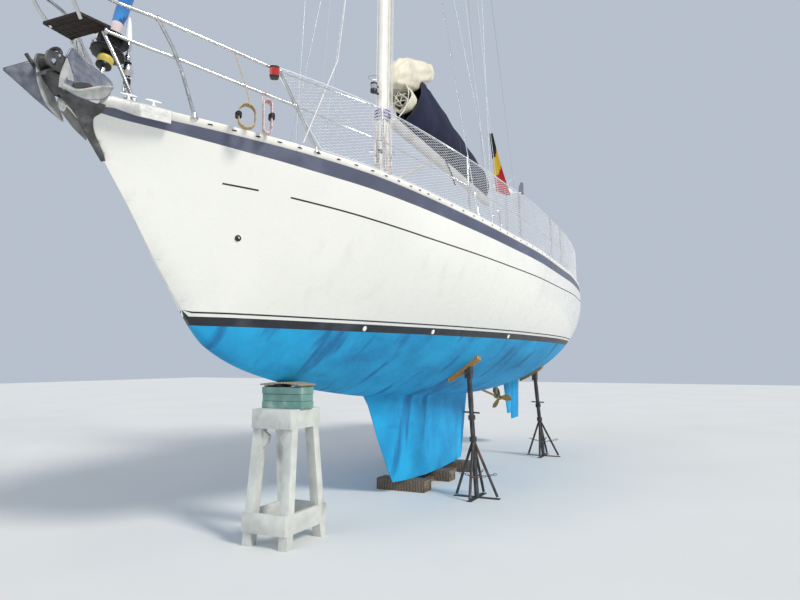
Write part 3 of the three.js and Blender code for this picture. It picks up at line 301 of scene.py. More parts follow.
def wood(name, color, dark, rings=9.0, rough=0.7, stretch=(0.4, 1, 1)):
    g = Graph(name)
    grain = g.bands(rings, "Y", stretch, 6.0)
    fibre = g.noise(60.0, 8.0, (0.15, 1, 1))
    shade = g.mix(grain, tint(color, 1.0), tint(dark, 1.0))
    shade = g.mix(g.fit(fibre, 0.45, 0.8), shade, tint(dark, 0.7))
    g.put(Base_Color=shade, Roughness=g.fit(fibre, 0.3, 0.7, rough - 0.1, rough + 0.15))
    g.bump(fibre, 0.5, 0.003)
    return g.material


def gelcoat_look(name, color):
    """Old white gelcoat: glossy, with faint rain streaks and a slightly chalky bloom."""
    g = Graph(name)
    tone = g.fit(g.noise(1.2, 4.0), 0.35, 0.7)
    shade = g.mix(tone, tint(color, 0.97), tint(color, 1.03))
    streaks = g.fit(g.noise(5.0, 6.0, (1, 1, 0.12)), 0.6, 0.85, 0.0, 0.35)
    shade = g.mix(streaks, shade, tint((0.62, 0.59, 0.5), 1.0))
    g.put(Base_Color=shade, Coat_Weight=0.35, Coat_Roughness=0.1)
    g.put(Roughness=g.fit(g.noise(7.0), 0.3, 0.7, 0.2, 0.38))
    g.bump(g.noise(1.4, 2.0), 0.02, 0.02)
    return g.material


def antifouling_look():
    """Bright scrubbed antifouling, streaked and patched where older paint shows through."""
    g = Graph("antifouling")
    base = g.mix(g.fit(g.noise(2.0, 8.0), 0.35, 0.65), (0.004, 0.27, 0.55, 1), (0.01, 0.4, 0.74, 1))
    slant = g.node("ShaderNodeMapping", Vector=g.coords, Rotation=(0.0, 0.75, 0.0), Scale=(3.2, 1.0, 0.45))
    drips = g.node("ShaderNodeTexNoise", Vector=slant.outputs[0], Scale=1.3, Detail=3.0).outputs["Fac"]
    shade = g.mix(g.fit(drips, 0.57, 0.66, 0.0, 0.8), base, (0.004, 0.13, 0.34, 1))
    smear = g.fit(g.noise(3.0, 8.0, (0.35, 1, 1)), 0.58, 0.72, 0.0, 0.7)
    shade = g.mix(smear, shade, (0.006, 0.17, 0.4, 1))
    chalk = g.fit(g.noise(6.0, 10.0), 0.64, 0.8, 0.0, 0.5)
    shade = g.mix(chalk, shade, (0.12, 0.5, 0.72, 1))
    g.put(Base_Color=shade, Roughness=g.fit(g.noise(20.0), 0.3, 0.7, 0.6, 0.85))
    g.bump(g.noise(90.0, 6.0), 0.25, 0.004)
    return g.material


WHITE = (0.86, 0.85, 0.79)
MATERIALS = {
    "gelcoat": gelcoat_look("gelcoat", WHITE),
    "band": look("band_paint", (0.085, 0.095, 0.15), 0.4, vary=0.15, scale=2.5, dirt=(0.14, 0.15, 0.2),
                 coat=0.15),
    "boot": look("boot_paint", (0.012, 0.014, 0.02), 0.45, dirt=(0.05, 0.06, 0.08), vary=0.2),
    "antifouling": antifouling_look(),
    "capping": look("capping", (0.83, 0.81, 0.74), 0.42, vary=0.05, grain=0.15, dirt=(0.5, 0.45, 0.34),
                    dirt_from=0.62, dirt_to=0.9, dirt_scale=9),
    "deck": look("deck_nonskid", (0.7, 0.67, 0.58), 0.75, grain=0.7, grain_scale=260,
                 dirt=(0.45, 0.42, 0.36)),
    "steel": look("stainless", (0.62, 0.62, 0.6), 0.2, 1.0, vary=0.1, scale=14, rough_vary=0.1),
    "chrome": look("polished", (0.8, 0.8, 0.8), 0.1, 1.0, vary=0.06, rough_vary=0.05),
    # Dark blue-grey steel; on the anchors' far wings it is painted shade, the shaded copy of the pale zinc
    # look.
    "galvanised": look("galvanised", (0.2, 0.215, 0.26), 0.5, 0.6, vary=0.22, scale=22, grain=0.35,
                       grain_scale=120, dirt=(0.3, 0.31, 0.33), dirt_scale=14),
    "cast": look("cast_alloy", (0.5, 0.5, 0.49), 0.55, 0.4, vary=0.12, scale=12, grain=0.3, grain_scale=200,
                 dirt=(0.3, 0.3, 0.3), dirt_scale=8),
    # Near-black painted shade: the stainless stem guard and the bow channel's plates are drawn as dark as
    # they stand in shade.
    "guard": look("stem_guard", (0.1, 0.1, 0.1), 0.55, 0.45, vary=0.3, scale=16, grain=0.4,
                  dirt=(0.2, 0.2, 0.19), dirt_scale=18),
    "spar": look("spar_paint", (0.8, 0.78, 0.7), 0.4, 0.1, vary=0.05, dirt=(0.55, 0.5, 0.4), dirt_scale=4,
                 dirt_from=0.62, dirt_to=0.95, stretch=(1, 1, 0.2), coat=0.2),
    "grey_spar": look("spar_grey", (0.55, 0.54, 0.52), 0.45, 0.3, vary=0.08, dirt=(0.35, 0.33, 0.3)),
    "seat_wood": wood("seat_plank", (0.04, 0.02, 0.013), (0.012, 0.007, 0.006), 14),
    "teak": wood("teak", (0.32, 0.19, 0.1), (0.16, 0.09, 0.05), 12),
    "timber": wood("block_timber", (0.2, 0.15, 0.1), (0.08, 0.055, 0.04), 8),
    "pale_wood": wood("pale_wood", (0.5, 0.45, 0.34), (0.3, 0.25, 0.17), 10),
    "pad_wood": wood("pad_wood", (0.52, 0.3, 0.1), (0.26, 0.13, 0.05), 12),
    "trestle": look("trestle_paint", (0.56, 0.57, 0.53), 0.7, vary=0.1, scale=7, grain=0.5, grain_scale=90,
                    dirt=(0.24, 0.23, 0.2), dirt_scale=5, dirt_from=0.58, dirt_to=0.8, stretch=(1, 1, 0.5)),
    "green": look("block_green", (0.16, 0.3, 0.26), 0.7, vary=0.2, scale=6, grain=0.5, grain_scale=80,
                  dirt=(0.4, 0.45, 0.4), dirt_scale=6),
    "prop": look("prop_steel", (0.06, 0.06, 0.062), 0.6, 0.5, vary=0.3, scale=10, grain=0.4,
                 dirt=(0.2, 0.1, 0.06), dirt_scale=8),
    "rust": look("rusty_chain", (0.16, 0.09, 0.06), 0.8, 0.4, vary=0.35, scale=30, grain=0.6),
    "black": look("black_plastic", (0.015, 0.015, 0.017), 0.4, vary=0.3, grain=0.2),
    "rubber": look("black_rubber", (0.03, 0.03, 0.03), 0.7, vary=0.3, grain=0.3),
    "white": look("white_plastic", (0.86, 0.86, 0.84), 0.35, vary=0.03, grain=0.1),
    "yellow": look("yellow_plastic", (0.78, 0.62, 0.12), 0.45, vary=0.1, dirt=(0.5, 0.4, 0.12),
                   dirt_scale=15),
    "bronze": look("bronze", (0.42, 0.27, 0.1), 0.4, 0.9, vary=0.2, scale=20, dirt=(0.1, 0.18, 0.14)),
    "net": look("net_cord", (0.86, 0.87, 0.9), 0.7, vary=0.05),
    "wire": look("rigging_wire", (0.6, 0.62, 0.64), 0.3, 1.0, vary=0.15, scale=40),
    "navy": cloth("sail_cover_navy", (0.004, 0.007, 0.032), vary=0.3, fade=(0.01, 0.014, 0.05), rough=0.9,
                  sheen=0.0),
    "sail": cloth("old_sailcloth", (0.78, 0.72, 0.58), vary=0.12, fade=(0.6, 0.52, 0.38), crease=0.6),
    "uv_blue": cloth("sail_blue", (0.02, 0.16, 0.45), vary=0.25, fade=(0.05, 0.3, 0.6)),
    "uv_edge": cloth("sail_blue_edge", (0.008, 0.07, 0.24), vary=0.25, fade=(0.02, 0.12, 0.32)),
    "tack": cloth("sail_tack", (0.75, 0.66, 0.66), vary=0.12, fade=(0.6, 0.4, 0.42)),
    "strap": cloth("black_webbing", (0.01, 0.01, 0.014), thread=500, sheen=0.1),
    "flag_black": cloth("flag_black", (0.012, 0.012, 0.014), sheen=0.3, crease=0.2),
    "flag_yellow": cloth("flag_yellow", (0.85, 0.6, 0.05), sheen=0.3, crease=0.2),
    "flag_red": cloth("flag_red", (0.62, 0.03, 0.04), sheen=0.3, crease=0.2),
    "rope": look("rope_white", (0.75, 0.73, 0.68), 0.8, vary=0.15, scale=60, grain=0.9, grain_scale=500),
    "rope_tan": look("rope_tan", (0.5, 0.38, 0.2), 0.85, vary=0.25, scale=90, grain=0.9, grain_scale=500),
    "rope_pink": look("rope_pink", (0.78, 0.62, 0.6), 0.85, vary=0.2, scale=70, dirt=(0.6, 0.25, 0.28),
                      dirt_scale=60, dirt_from=0.55, dirt_to=0.62, grain=0.9, grain_scale=500),
    "rope_blue": look("rope_blue", (0.06, 0.05, 0.3), 0.8, vary=0.3, scale=70, grain=0.9, grain_scale=500),
    # Pale zinc: on the anchors' near wings, ears and flukes it is painted light, the lit copy of the dark
    # galvanised look.
    "zinc": look("zinc_painted_light", (0.55, 0.55, 0.52), 0.5, 0.6, vary=0.12, scale=16, grain=0.3, grain_scale=150,
                 dirt=(0.36, 0.36, 0.34), dirt_scale=12),
    # Flat dark faces that fill holes and recesses: painted shade, used on the capping's slots, the sail's
    # open mouth, the bow block's notch and the drain.
    "slot": look("painted_hole_shade", (0.02, 0.02, 0.02), 0.8, vary=0.3),
}


def glass(name, color, rough=0.08):
    g = Graph(name)
    g.put(Base_Color=g.mix(g.fit(g.noise(3.0), 0.3, 0.7), tint(color, 0.8), tint(color, 1.2)))
    g.put(Roughness=g.fit(g.noise(12.0), 0.3, 0.7, rough, rough + 0.08), Coat_Weight=0.6)
    return g.material


MATERIALS["window"] = glass("tinted_window", (0.02, 0.024, 0.028))
MATERIALS["red_lens"] = glass("red_lens", (0.45, 0.015, 0.01))
MATERIALS["green_lens"] = glass("green_lens", (0.01, 0.25, 0.06))
MATERIALS["lens"] = glass("clear_lens", (0.35, 0.36, 0.38))


# Mesh building
SAME_POINT = 1e-5


def unit(a, b):
    return (b - a).normalized()


def smooth(points, steps=6):
    """A rounded path through the points."""
    ends = [2 * points[0] - points[1]] + list(points) + [2 * points[-1] - points[-2]]
    path = []
    for a, b, c, d in zip(ends, ends[1:], ends[2:], ends[3:]):
        for k in range(steps):
            t = k / steps
            path.append(0.5 * (
                2 * b + (c - a) * t + (2 * a - 5 * b + 4 * c - d) * t * t + (3 * b - a - 3 * c + d) * t ** 3))
    path.append(points[-1].copy())
    return path


def frames_along(path, side=None):
    made = []
    for i, here in enumerate(path):
        way = unit(path[max(i - 1, 0)], path[min(i + 1, len(path) - 1)])
        if side is None:
            side = way.orthogonal()
        side = (side - way * side.dot(way)).normalized()
        made.append((here, side, way.cross(side)))
    return made


class Build:
    """Gathers the faces of one piece. Each face takes the material mark that is set when it is added."""

    def __init__(self):
        self.verts = []
        self.faces = []
        self.marks = []
        self.mark = 0

    def add(self, verts, faces):
        base = len(self.verts)
        self.verts.extend(verts)
        self.faces.extend([tuple(base + i for i in face) for face in faces])
        self.marks.extend([self.mark] * len(faces))

    def grid(self, rows, wrap=False, caps=False):
        """Quads between rows of equally many points; wrap closes each row on itself."""
        wide = len(rows[0])
        faces = []
        for r in range(len(rows) - 1):
            for c in range(wide if wrap else wide - 1):
                d = (c + 1) % wide
                faces.append((r * wide + c, r * wide + d, (r + 1) * wide + d, (r + 1) * wide + c))
        if caps:
            faces.append(tuple(reversed(range(wide))))
            faces.append(tuple((len(rows) - 1) * wide + c for c in range(wide)))
        self.add([p for row in rows for p in row], faces)

    def tube(self, path, radius, sides=10, side=None, flat=1.0):
        """A round or flattened tube; radius is a number or a function of the share of the path."""
        last = len(path) - 1
        rings = []
        for i, (here, u, v) in enumerate(frames_along(path, side)):
            r = radius(i / last) if callable(radius) else radius
            rings.append([
                here + u * (r * cos(a)) + v * (r * flat * sin(a))
                for a in [TAU * k / sides for k in range(sides)]])
        self.grid(rings, wrap=True, caps=True)

    def bar(self, a, b, radius, sides=10):
        self.tube([a, b], radius, sides)

    def lathe(self, base, axis, profile, sides=24):
        """profile: (radius, distance along the axis) from one end to the other."""
        u = axis.orthogonal().normalized()
        v = axis.cross(u).normalized()
        turn = [TAU * k / sides for k in range(sides)]
        rings = [[base + axis * h + u * (r * cos(a)) + v * (r * sin(a)) for a in turn] for r, h in profile]
        self.grid(rings, wrap=True, caps=True)

    def block(self, a, b):
        """An upright box between two corners."""
        lo = Vector([min(p) for p in zip(a, b)])
        hi = Vector([max(p) for p in zip(a, b)])
        ring = [(lo.x, lo.y), (hi.x, lo.y), (hi.x, hi.y), (lo.x, hi.y)]
        self.grid([[Vector((x, y, z)) for x, y in ring] for z in (lo.z, hi.z)], wrap=True, caps=True)

    def slab(self, outline, push):
        """A flat outline pushed along a vector."""
        self.grid([list(outline), [p + push for p in outline]], wrap=True, caps=True)

    def mirrored(self):
        """Adds a copy on the other side of the centre line."""
        base = len(self.verts)
        copies = [tuple(base + i for i in reversed(face)) for face in self.faces]
        self.verts.extend([Vector((p[0], -p[1], p[2])) for p in self.verts])
        self.faces.extend(copies)
        self.marks.extend(list(self.marks))
        return self

    def piece(
            self, name, looks, body="root", slot=None, angle=40.0, bevel=0.0, stands_for=None, welded=False):
        """Makes the object, and names its body and the CAD node that it stands for; its slot argument is not
        used.
        """
        mesh = bpy.data.meshes.new(name)
        mesh.from_pydata([tuple(p) for p in self.verts], [], self.faces)
        for key in looks:
            mesh.materials.append(MATERIALS[key])
        mesh.polygons.foreach_set("material_index", self.marks)
        mesh.validate()
        mesh.shade_smooth()
        mesh.set_sharp_from_angle(angle=radians(angle))
        obj = bpy.data.objects.new(name, mesh)
        bpy.context.scene.collection.objects.link(obj)
        if bevel:
            round_edges(obj, bevel)
        if body:
            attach(obj, body)
        if welded:
            weld(obj, angle)
        if stands_for:
            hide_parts(stands_for)
        return obj


def round_edges(obj, width):
    rounded = obj.modifiers.new("bevel", "BEVEL")
    rounded.width = width
    rounded.segments = 2
    rounded.limit_method = "ANGLE"
    return rounded


def weld(obj, angle):
    """Merges points that coincide, drops faces with no area, and shades the result smooth."""
    work = bmesh.new()
    work.from_mesh(obj.data)
    bmesh.ops.remove_doubles(work, verts=work.verts, dist=SAME_POINT)
    bmesh.ops.dissolve_degenerate(work, edges=work.edges, dist=SAME_POINT)
    bmesh.ops.recalc_face_normals(work, faces=work.faces)
    work.to_mesh(obj.data)
    work.free()
    obj.data.shade_smooth()
    obj.data.set_sharp_from_angle(angle=radians(angle))


# Hull: paint zones are rows of the mesh, so every edge of paint is crisp.
BOOT_LOW, BOOT_HIGH = 1.85, 1.922
LINE_LOW, LINE_HIGH = 1.947, 1.961
COVE_WIDE = 0.013
BAND_HIGH, HULL_TOP = 0.045, 0.02
ROUND_STEM = 0.03
UNDER_ROWS, TOPSIDE_ROWS, UPPER_ROWS = 16, 10, 4
GELCOAT, BAND, BOOT, ANTIFOULING = range(4)

# How far the lower edge of the band is below the sheer, along the hull
band_low = table_line([
    (0.0, 0.075), (0.2, 0.092), (0.36, 0.11), (0.57, 0.121), (0.8, 0.135), (1.2, 0.154), (1.9, 0.168),
    (12.6, 0.168),
])[0]

# The fine cove line lies this far below the sheer, a little less at the stem and aft.
COVE_DROP, COVE_FORE_RISE, COVE_AFT_RISE = 0.405, 0.005, 0.065
COVE_AFT_FROM, COVE_AFT_TO = 3.0, 8.5


def cove_drop(s):
    aft_rise = COVE_AFT_RISE * share(s, COVE_AFT_FROM, COVE_AFT_TO)
    return COVE_DROP - COVE_FORE_RISE * max(0.0, 1.0 - s) - aft_rise


RUDDER_GAP = 0.008
RUDDER_FORE, RUDDER_AFT, RUDDER_EASE = 9.5, 11.8, 0.3


def skin_bottom(s):
    """The hull's lowest line, a little higher over the rudder's head, which turns under it."""
    rise = share(s, RUDDER_FORE, RUDDER_FORE + RUDDER_EASE) * share(s, RUDDER_AFT, RUDDER_AFT - RUDDER_EASE)
    return bottom(s) + RUDDER_GAP * rise


def hull_rows(s):
    """Heights of the mesh rows at a station, and the paint above each."""
    low = skin_bottom(s)
    top = sheer(s)
    cove = top - cove_drop(s)
    rows = [(low + (BOOT_LOW - low) * (k / UNDER_ROWS) ** 1.5, ANTIFOULING) for k in range(UNDER_ROWS)]
    rows += [(BOOT_LOW, BOOT), (BOOT_HIGH, GELCOAT), (LINE_LOW, BOOT)]
    rows += [(lerp(LINE_HIGH, cove, k / TOPSIDE_ROWS), GELCOAT) for k in range(TOPSIDE_ROWS)]
    rows += [(cove, BOOT)]
    band = top - band_low(s)
    rows += [(lerp(cove + COVE_WIDE, band, k / UPPER_ROWS), GELCOAT) for k in range(UPPER_ROWS)]
    rows += [(band, BAND), ((band + top - BAND_HIGH) / 2, BAND), (top - BAND_HIGH, GELCOAT)]
    rows += [(top - HULL_TOP, GELCOAT)]
    return [(max(z, low), paint) for z, paint in rows]


COVE_ROW = UNDER_ROWS + 3 + TOPSIDE_ROWS
COVE_RUNS = [(0.91, 1.16), (1.4, 11.7)]


def rounding(depth, radius):
    return sqrt(1 - (1 - share(depth, 0.0, radius)) ** 2)


HULL_FORE, MIDSHIPS, HULL_LONG = 0.13, 5.0, 12.1
NOSE_OUT, NOSE_ROUND = 0.012, 0.06
FINE_STEP, FINE_COUNT, COARSE_COUNT = 0.004, 66, 72
SETTLE_STEPS = 4


def hull_point(u, row):
    """A point of a mesh row on the port side; the station settles where the row meets the raked transom."""
    s = lerp(HULL_FORE, TRANSOM_TOP[0], u)
    for step in range(SETTLE_STEPS):
        z = hull_rows(s)[row][0]
        s = lerp(HULL_FORE, transom_s(z), u)
    y = half_breadth(s, z) * rounding(z - skin_bottom(s), ROUND_STEM) * rounding(s + NOSE_OUT, NOSE_ROUND)
    return point(s, y, z)


def hull_skin():
    shares = [FINE_STEP * k for k in range(FINE_COUNT)]
    shares += [lerp(shares[-1], 1.0, k / COARSE_COUNT) for k in range(1, COARSE_COUNT + 1)]
    paints = [paint for z, paint in hull_rows(MIDSHIPS)]
    build = Build()
    for row in range(len(paints) - 1):
        lower, upper = [[hull_point(u, level) for u in shares] for level in (row, row + 1)]
        for i in range(len(shares) - 1):
            s = shares[i] * HULL_LONG
            bare = row == COVE_ROW and not any(a < s < b for a, b in COVE_RUNS)
            build.mark = GELCOAT if bare else paints[row]
            corners = [lower[i], lower[i + 1], upper[i + 1], upper[i]]
            build.add(corners, [(0, 1, 2, 3)])
            build.add([Vector((p.x, -p.y, p.z)) for p in corners], [(3, 2, 1, 0)])
        build.mark = paints[row]
        a, b = lower[-1], upper[-1]
        build.add([a, Vector((a.x, -a.y, a.z)), Vector((b.x, -b.y, b.z)), b], [(0, 1, 2, 3)])
    build.piece("hull_skin", ["gelcoat", "band", "boot", "antifouling"], slot="gelcoat", angle=50,
                stands_for="hull", welded=True)


hull_skin()


# CAD solids that keep their shape get rounded edges, smooth shading and a material.
CAD_MERGE = 1e-4


def dress(name, look_name, angle, bevel):
    obj = NODES[name]
    mesh = obj.data
    if "custom_normal" in mesh.attributes:
        mesh.attributes.remove(mesh.attributes["custom_normal"])
    mesh.materials.clear()
    mesh.materials.append(MATERIALS[look_name])
    mesh.shade_smooth()
    joined = obj.modifiers.new("weld", "WELD")
    joined.merge_threshold = CAD_MERGE
    if bevel:
        round_edges(obj, bevel).angle_limit = radians(angle)
    split = obj.modifiers.new("split", "EDGE_SPLIT")
    split.split_angle = radians(angle)


# Columns: look, crease angle in degrees, rounding of the edges, nodes
DRESSES = [
    ("deck", 40, 0, "deck"),
    ("gelcoat", 30, 0.012, "coachroof"),
    ("gelcoat", 35, 0.006, "cockpit_tub"),
    ("gelcoat", 40, 0.006, "locker_lid_port locker_lid_starboard anchor_locker_lid"),
    ("gelcoat", 40, 0.008, "companion_slide"),
    ("window", 30, 0.003, "window_port window_starboard"),
    ("window", 40, 0.008, "fore_hatch mid_hatch"),
    ("antifouling", 50, 0, "keel skeg rudder"),
    ("bronze", 40, 0.002, "shaft_and_bracket propeller"),
    ("steel", 60, 0, "pushpit wheel generator_pole lifelines_port lifelines_starboard"),
    ("wire", 60, 0, "cap_shroud_lower_port cap_shroud_lower_starboard cap_shroud_upper_port"),
    ("wire", 60, 0, "cap_shroud_upper_starboard fore_lower_shroud_port fore_lower_shroud_starboard"),
    ("wire", 60, 0, "aft_lower_shroud_port aft_lower_shroud_starboard backstay forestay_head"),
    ("chrome", 30, 0, "winch_port winch_starboard"),
    ("spar", 40, 0.002, "mast"),
    ("spar", 60, 0, "spreader_port spreader_starboard"),
    ("grey_spar", 50, 0, "boom"),
    ("grey_spar", 40, 0.002, "vang"),
    ("white", 40, 0.006, "pedestal"),
    ("timber", 40, 0.008, "keel_blocks"),
    ("trestle", 40, 0.005, "bow_trestle"),
    ("prop", 40, 0, "prop_fore_port prop_fore_starboard prop_aft_port prop_aft_starboard"),
]
for look_name, crease_angle, edge_round, node_names in DRESSES:
    for node_name in node_names.split():
        dress(node_name, look_name, crease_angle, edge_round)


DECK_FORE, DECK_OVER, DECK_INSET = HULL_FORE + 0.02, 0.002, 0.012


def fitted_deck():
    """The deck's own solid, kept inside the finer skin of the hull."""
    mesh = NODES["deck"].data.copy()
    for vertex in mesh.vertices:
        s = max(BOW - vertex.co.x, DECK_FORE)
        z = min(vertex.co.z - LIFT, deck_z(s, min(abs(vertex.co.y), breadth(s))) + DECK_OVER)
        reach = half_breadth(s, z) - DECK_INSET
        vertex.co = point(s, max(-reach, min(reach, vertex.co.y)), z)
    deck = bpy.data.objects.new("deck_fitted", mesh)
    bpy.context.scene.collection.objects.link(deck)
    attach(deck, "root")
    weld(deck, 40)
    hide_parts("deck")


fitted_deck()


# Light and floor
SKY_COLOR, SKY_STRENGTH = (0.66, 0.73, 0.85, 1), 0.72
FLOOR_HALF = 45.0
FLOOR_CORNERS = [(-1, -1), (1, -1), (1, 1), (-1, 1)]

world = bpy.data.worlds.new("studio")
world.use_nodes = True
world.node_tree.nodes["Background"].inputs["Color"].default_value = SKY_COLOR
world.node_tree.nodes["Background"].inputs["Strength"].default_value = SKY_STRENGTH
bpy.context.scene.world = world


def soft_sun(name, energy, from_way, width, color):
    lamp = bpy.data.lights.new(name, "SUN")
    lamp.energy = energy
    lamp.angle = radians(width)
    lamp.color = color
    obj = bpy.data.objects.new(name, lamp)
    obj.rotation_euler = Vector(from_way).to_track_quat("Z", "Y").to_euler()
    bpy.context.scene.collection.objects.link(obj)


soft_sun("key", 2.6, (0.35, 1.0, 0.75), 14, (1.0, 0.97, 0.9))
soft_sun("fill", 0.5, (1.0, -0.4, 0.5), 40, (0.85, 0.92, 1.0))

floor_mesh = bpy.data.meshes.new("floor")
floor_mesh.from_pydata([(FLOOR_HALF * x, FLOOR_HALF * y, 0) for x, y in FLOOR_CORNERS], [], [(0, 1, 2, 3)])
floor_mesh.materials.append(look("pale_floor", (0.72, 0.72, 0.7), 0.8, vary=0.02, scale=0.4))
floor = bpy.data.objects.new("floor", floor_mesh)
bpy.context.scene.collection.objects.link(floor)
bpy.context.scene.view_settings.view_transform = "Standard"


def aside(s, up, out):
    """The sheer line raised by `up`, `out` metres outboard of the hull's edge."""
    return point(s, breadth(s) + out, sheer(s) + up)


def along_side(s):
    return unit(aside(s - 0.02, 0, 0), aside(s + 0.02, 0, 0))


# Capping: a rounded white moulding along the sheer; each slot through its outer face is a flat dark face,
# painted shade in the hole.
CAPPING_SECTION = [
    (-0.003, -0.058), (0.006, -0.052), (0.008, -0.03), (0.007, -0.013), (0.002, -0.004), (-0.006, 0.0),
    (-0.058, 0.0), (-0.066, -0.004), (-0.07, -0.013), (-0.07, -0.058),
]
SLOTS = [
    0.817, 0.976, 1.141, 1.295, 1.45, 1.604, 1.779, 1.944, 2.113, 2.27, 2.427, 2.592, 2.72, 2.849, 3.035,
    3.251, 3.472, 3.693, 3.884, 4.115]
SLOTS += [4.115 + 0.21 * k for k in range(1, 37)]
SLOT_DROP, SLOT_LONG, SLOT_HIGH = 0.029, 0.02, 0.0075
SLOT_SIDES, SLOT_SQUARE, SLOT_PROUD, SLOT_RIM = 16, 0.7, 0.0088, 0.0022
CAPPING_FORE, CAPPING_AFT, CAPPING_STATIONS = 0.1, 12.07, 150
OUTER_FACE = -0.02
# The capping over the transom: s and z
AFT_CAPPING = [
    (11.985, 3.01), (11.985, 3.046), (11.992, 3.054), (12.04, 3.054), (12.058, 3.05), (12.066, 3.0)]
AFT_CAPPING_HALF = 1.03


def capping_point(s, out, up):
    """The outer face follows the flare of the topsides; the inner one stands on the deck's edge."""
    edge = half_breadth(s, sheer(s) + up) if out > OUTER_FACE else breadth(s)
    return point(s, max(0.0, edge + out), sheer(s) + up)


def capping():
    build = Build()
    stations = spread(CAPPING_FORE, CAPPING_AFT, CAPPING_STATIONS)
    rings = [[capping_point(s, out, up) for out, up in CAPPING_SECTION] for s in stations]
    build.grid(rings, wrap=True, caps=True)
    for s in SLOTS:
        rim = []
        for k in range(SLOT_SIDES):
            a = TAU * k / SLOT_SIDES
            long = SLOT_LONG * copysign(abs(cos(a)) ** SLOT_SQUARE, cos(a))
            rim.append(capping_point(s - long, SLOT_PROUD, SLOT_HIGH * sin(a) - SLOT_DROP))
        # A flat dark face fills the slot: painted shade in the hole.
        build.mark = 1
        build.add(rim, [tuple(range(SLOT_SIDES))])
        build.mark = 0
        out = along_side(s).cross(UP)
        build.tube(rim + rim[:1], SLOT_RIM, 6, side=out if out.y > 0 else -out)
    build.mirrored()
    breadths = spread(-AFT_CAPPING_HALF, AFT_CAPPING_HALF, 9)
    build.grid([[point(s, y, z) for s, z in AFT_CAPPING] for y in breadths], wrap=True, caps=True)
    build.piece("capping", ["capping", "slot"], slot="white_capping", angle=45, stands_for="toe_rail")


# Pulpit: two rails a side on raked legs. Columns are s, y and z.
PULPIT_TOP = [
    (-0.27, 0.11, 4.058), (-0.16, 0.165, 4.052), (0.187, 0.228, 4.023), (0.441, 0.394, 3.975),
    (0.869, 0.673, 3.88), (1.207, 0.894, 3.8),
]
PULPIT_MIDDLE = [
    (0.2, 0.165, 3.823), (0.3, 0.225, 3.804), (0.449, 0.32, 3.773), (0.605, 0.426, 3.743),
    (1.051, 0.731, 3.638), (1.36, 0.942, 3.57),
]
PULPIT_LEGS = [
    [(1.207, 0.894, 3.8), (1.36, 0.942, 3.57), (1.592, 0.983, 3.282)],
    [(0.441, 0.394, 3.975), (0.59, 0.44, 3.735), (0.715, 0.498, 3.35)],
    [(-0.16, 0.165, 4.052), (-0.07, 0.165, 3.925), (0.02, 0.14, 3.83)],
    [(0.2, 0.14, 3.825), (0.29, 0.205, 3.6), (0.376, 0.262, 3.37)],
]
PULPIT_NOSE = [(-0.262, -0.125, 4.058), (-0.285, -0.06, 4.059), (-0.29, 0, 4.06), (-0.285, 0.06, 4.059),
               (-0.262, 0.125, 4.058)]
RAIL = 0.0135
MIDDLE_RAIL, LEG = RAIL * 0.92, RAIL * 0.96
# Profiles of turned parts give radius and distance along the axis.
PULPIT_FOOT = [(0.032, 0), (0.034, 0.006), (0.03, 0.011), (0.019, 0.014), (0.0165, 0.045)]
PULPIT_FOOT_DOWN = 0.03
PULPIT_SOCKET = [(0.012, 0), (0.0165, 0.006), (0.0165, 0.034), (0.012, 0.04)]
PULPIT_SOCKET_DOWN = 0.02


def pulpit():
    build = Build()
    for rows, radius, steps in [(PULPIT_TOP, RAIL, 8), (PULPIT_MIDDLE, MIDDLE_RAIL, 8)] + [
            (rows, LEG, 6) for rows in PULPIT_LEGS]:
        build.tube(smooth([point(*row) for row in rows], steps), radius, 12)
    for leg in (0, 1, 3):
        build.lathe(point(*PULPIT_LEGS[leg][-1]) - UP * PULPIT_FOOT_DOWN, UP, PULPIT_FOOT, 20)
    for rows, at in [(PULPIT_TOP, 3), (PULPIT_TOP, 5), (PULPIT_MIDDLE, 0), (PULPIT_MIDDLE, 5)]:
        build.lathe(point(*rows[at]) - UP * PULPIT_SOCKET_DOWN, UP, PULPIT_SOCKET, 14)
    build.mirrored()
    build.tube(smooth([point(*row) for row in PULPIT_NOSE], 6), RAIL, 12)
    build.piece("pulpit_tubes", ["steel"], slot="stainless", angle=60, stands_for="pulpit")


# Safety netting laced to the lifelines: zigzag rows whose knots meet.
NET_CELL_LONG, NET_CELL_HIGH = 0.074, 0.0137
NET_ROWS = 42
NET_LOW = 0.02
NET_CORD, NET_EDGE_CORD, NET_FOOT_CORD = 0.0019, 0.003, 0.0025
NET_IN, NET_LEAN = 0.03, 0.03
NET_SAG, NET_SAG_WAVE, NET_TALL = 0.012, 4.4, 0.6
NET_START_HIGH, NET_START_LOW, NET_END = 1.27, 1.66, 10.7


def net_point(s, up, sag=0.0):
    return point(s, breadth(s) - NET_IN - NET_LEAN * up, sheer(s) + up - sag)


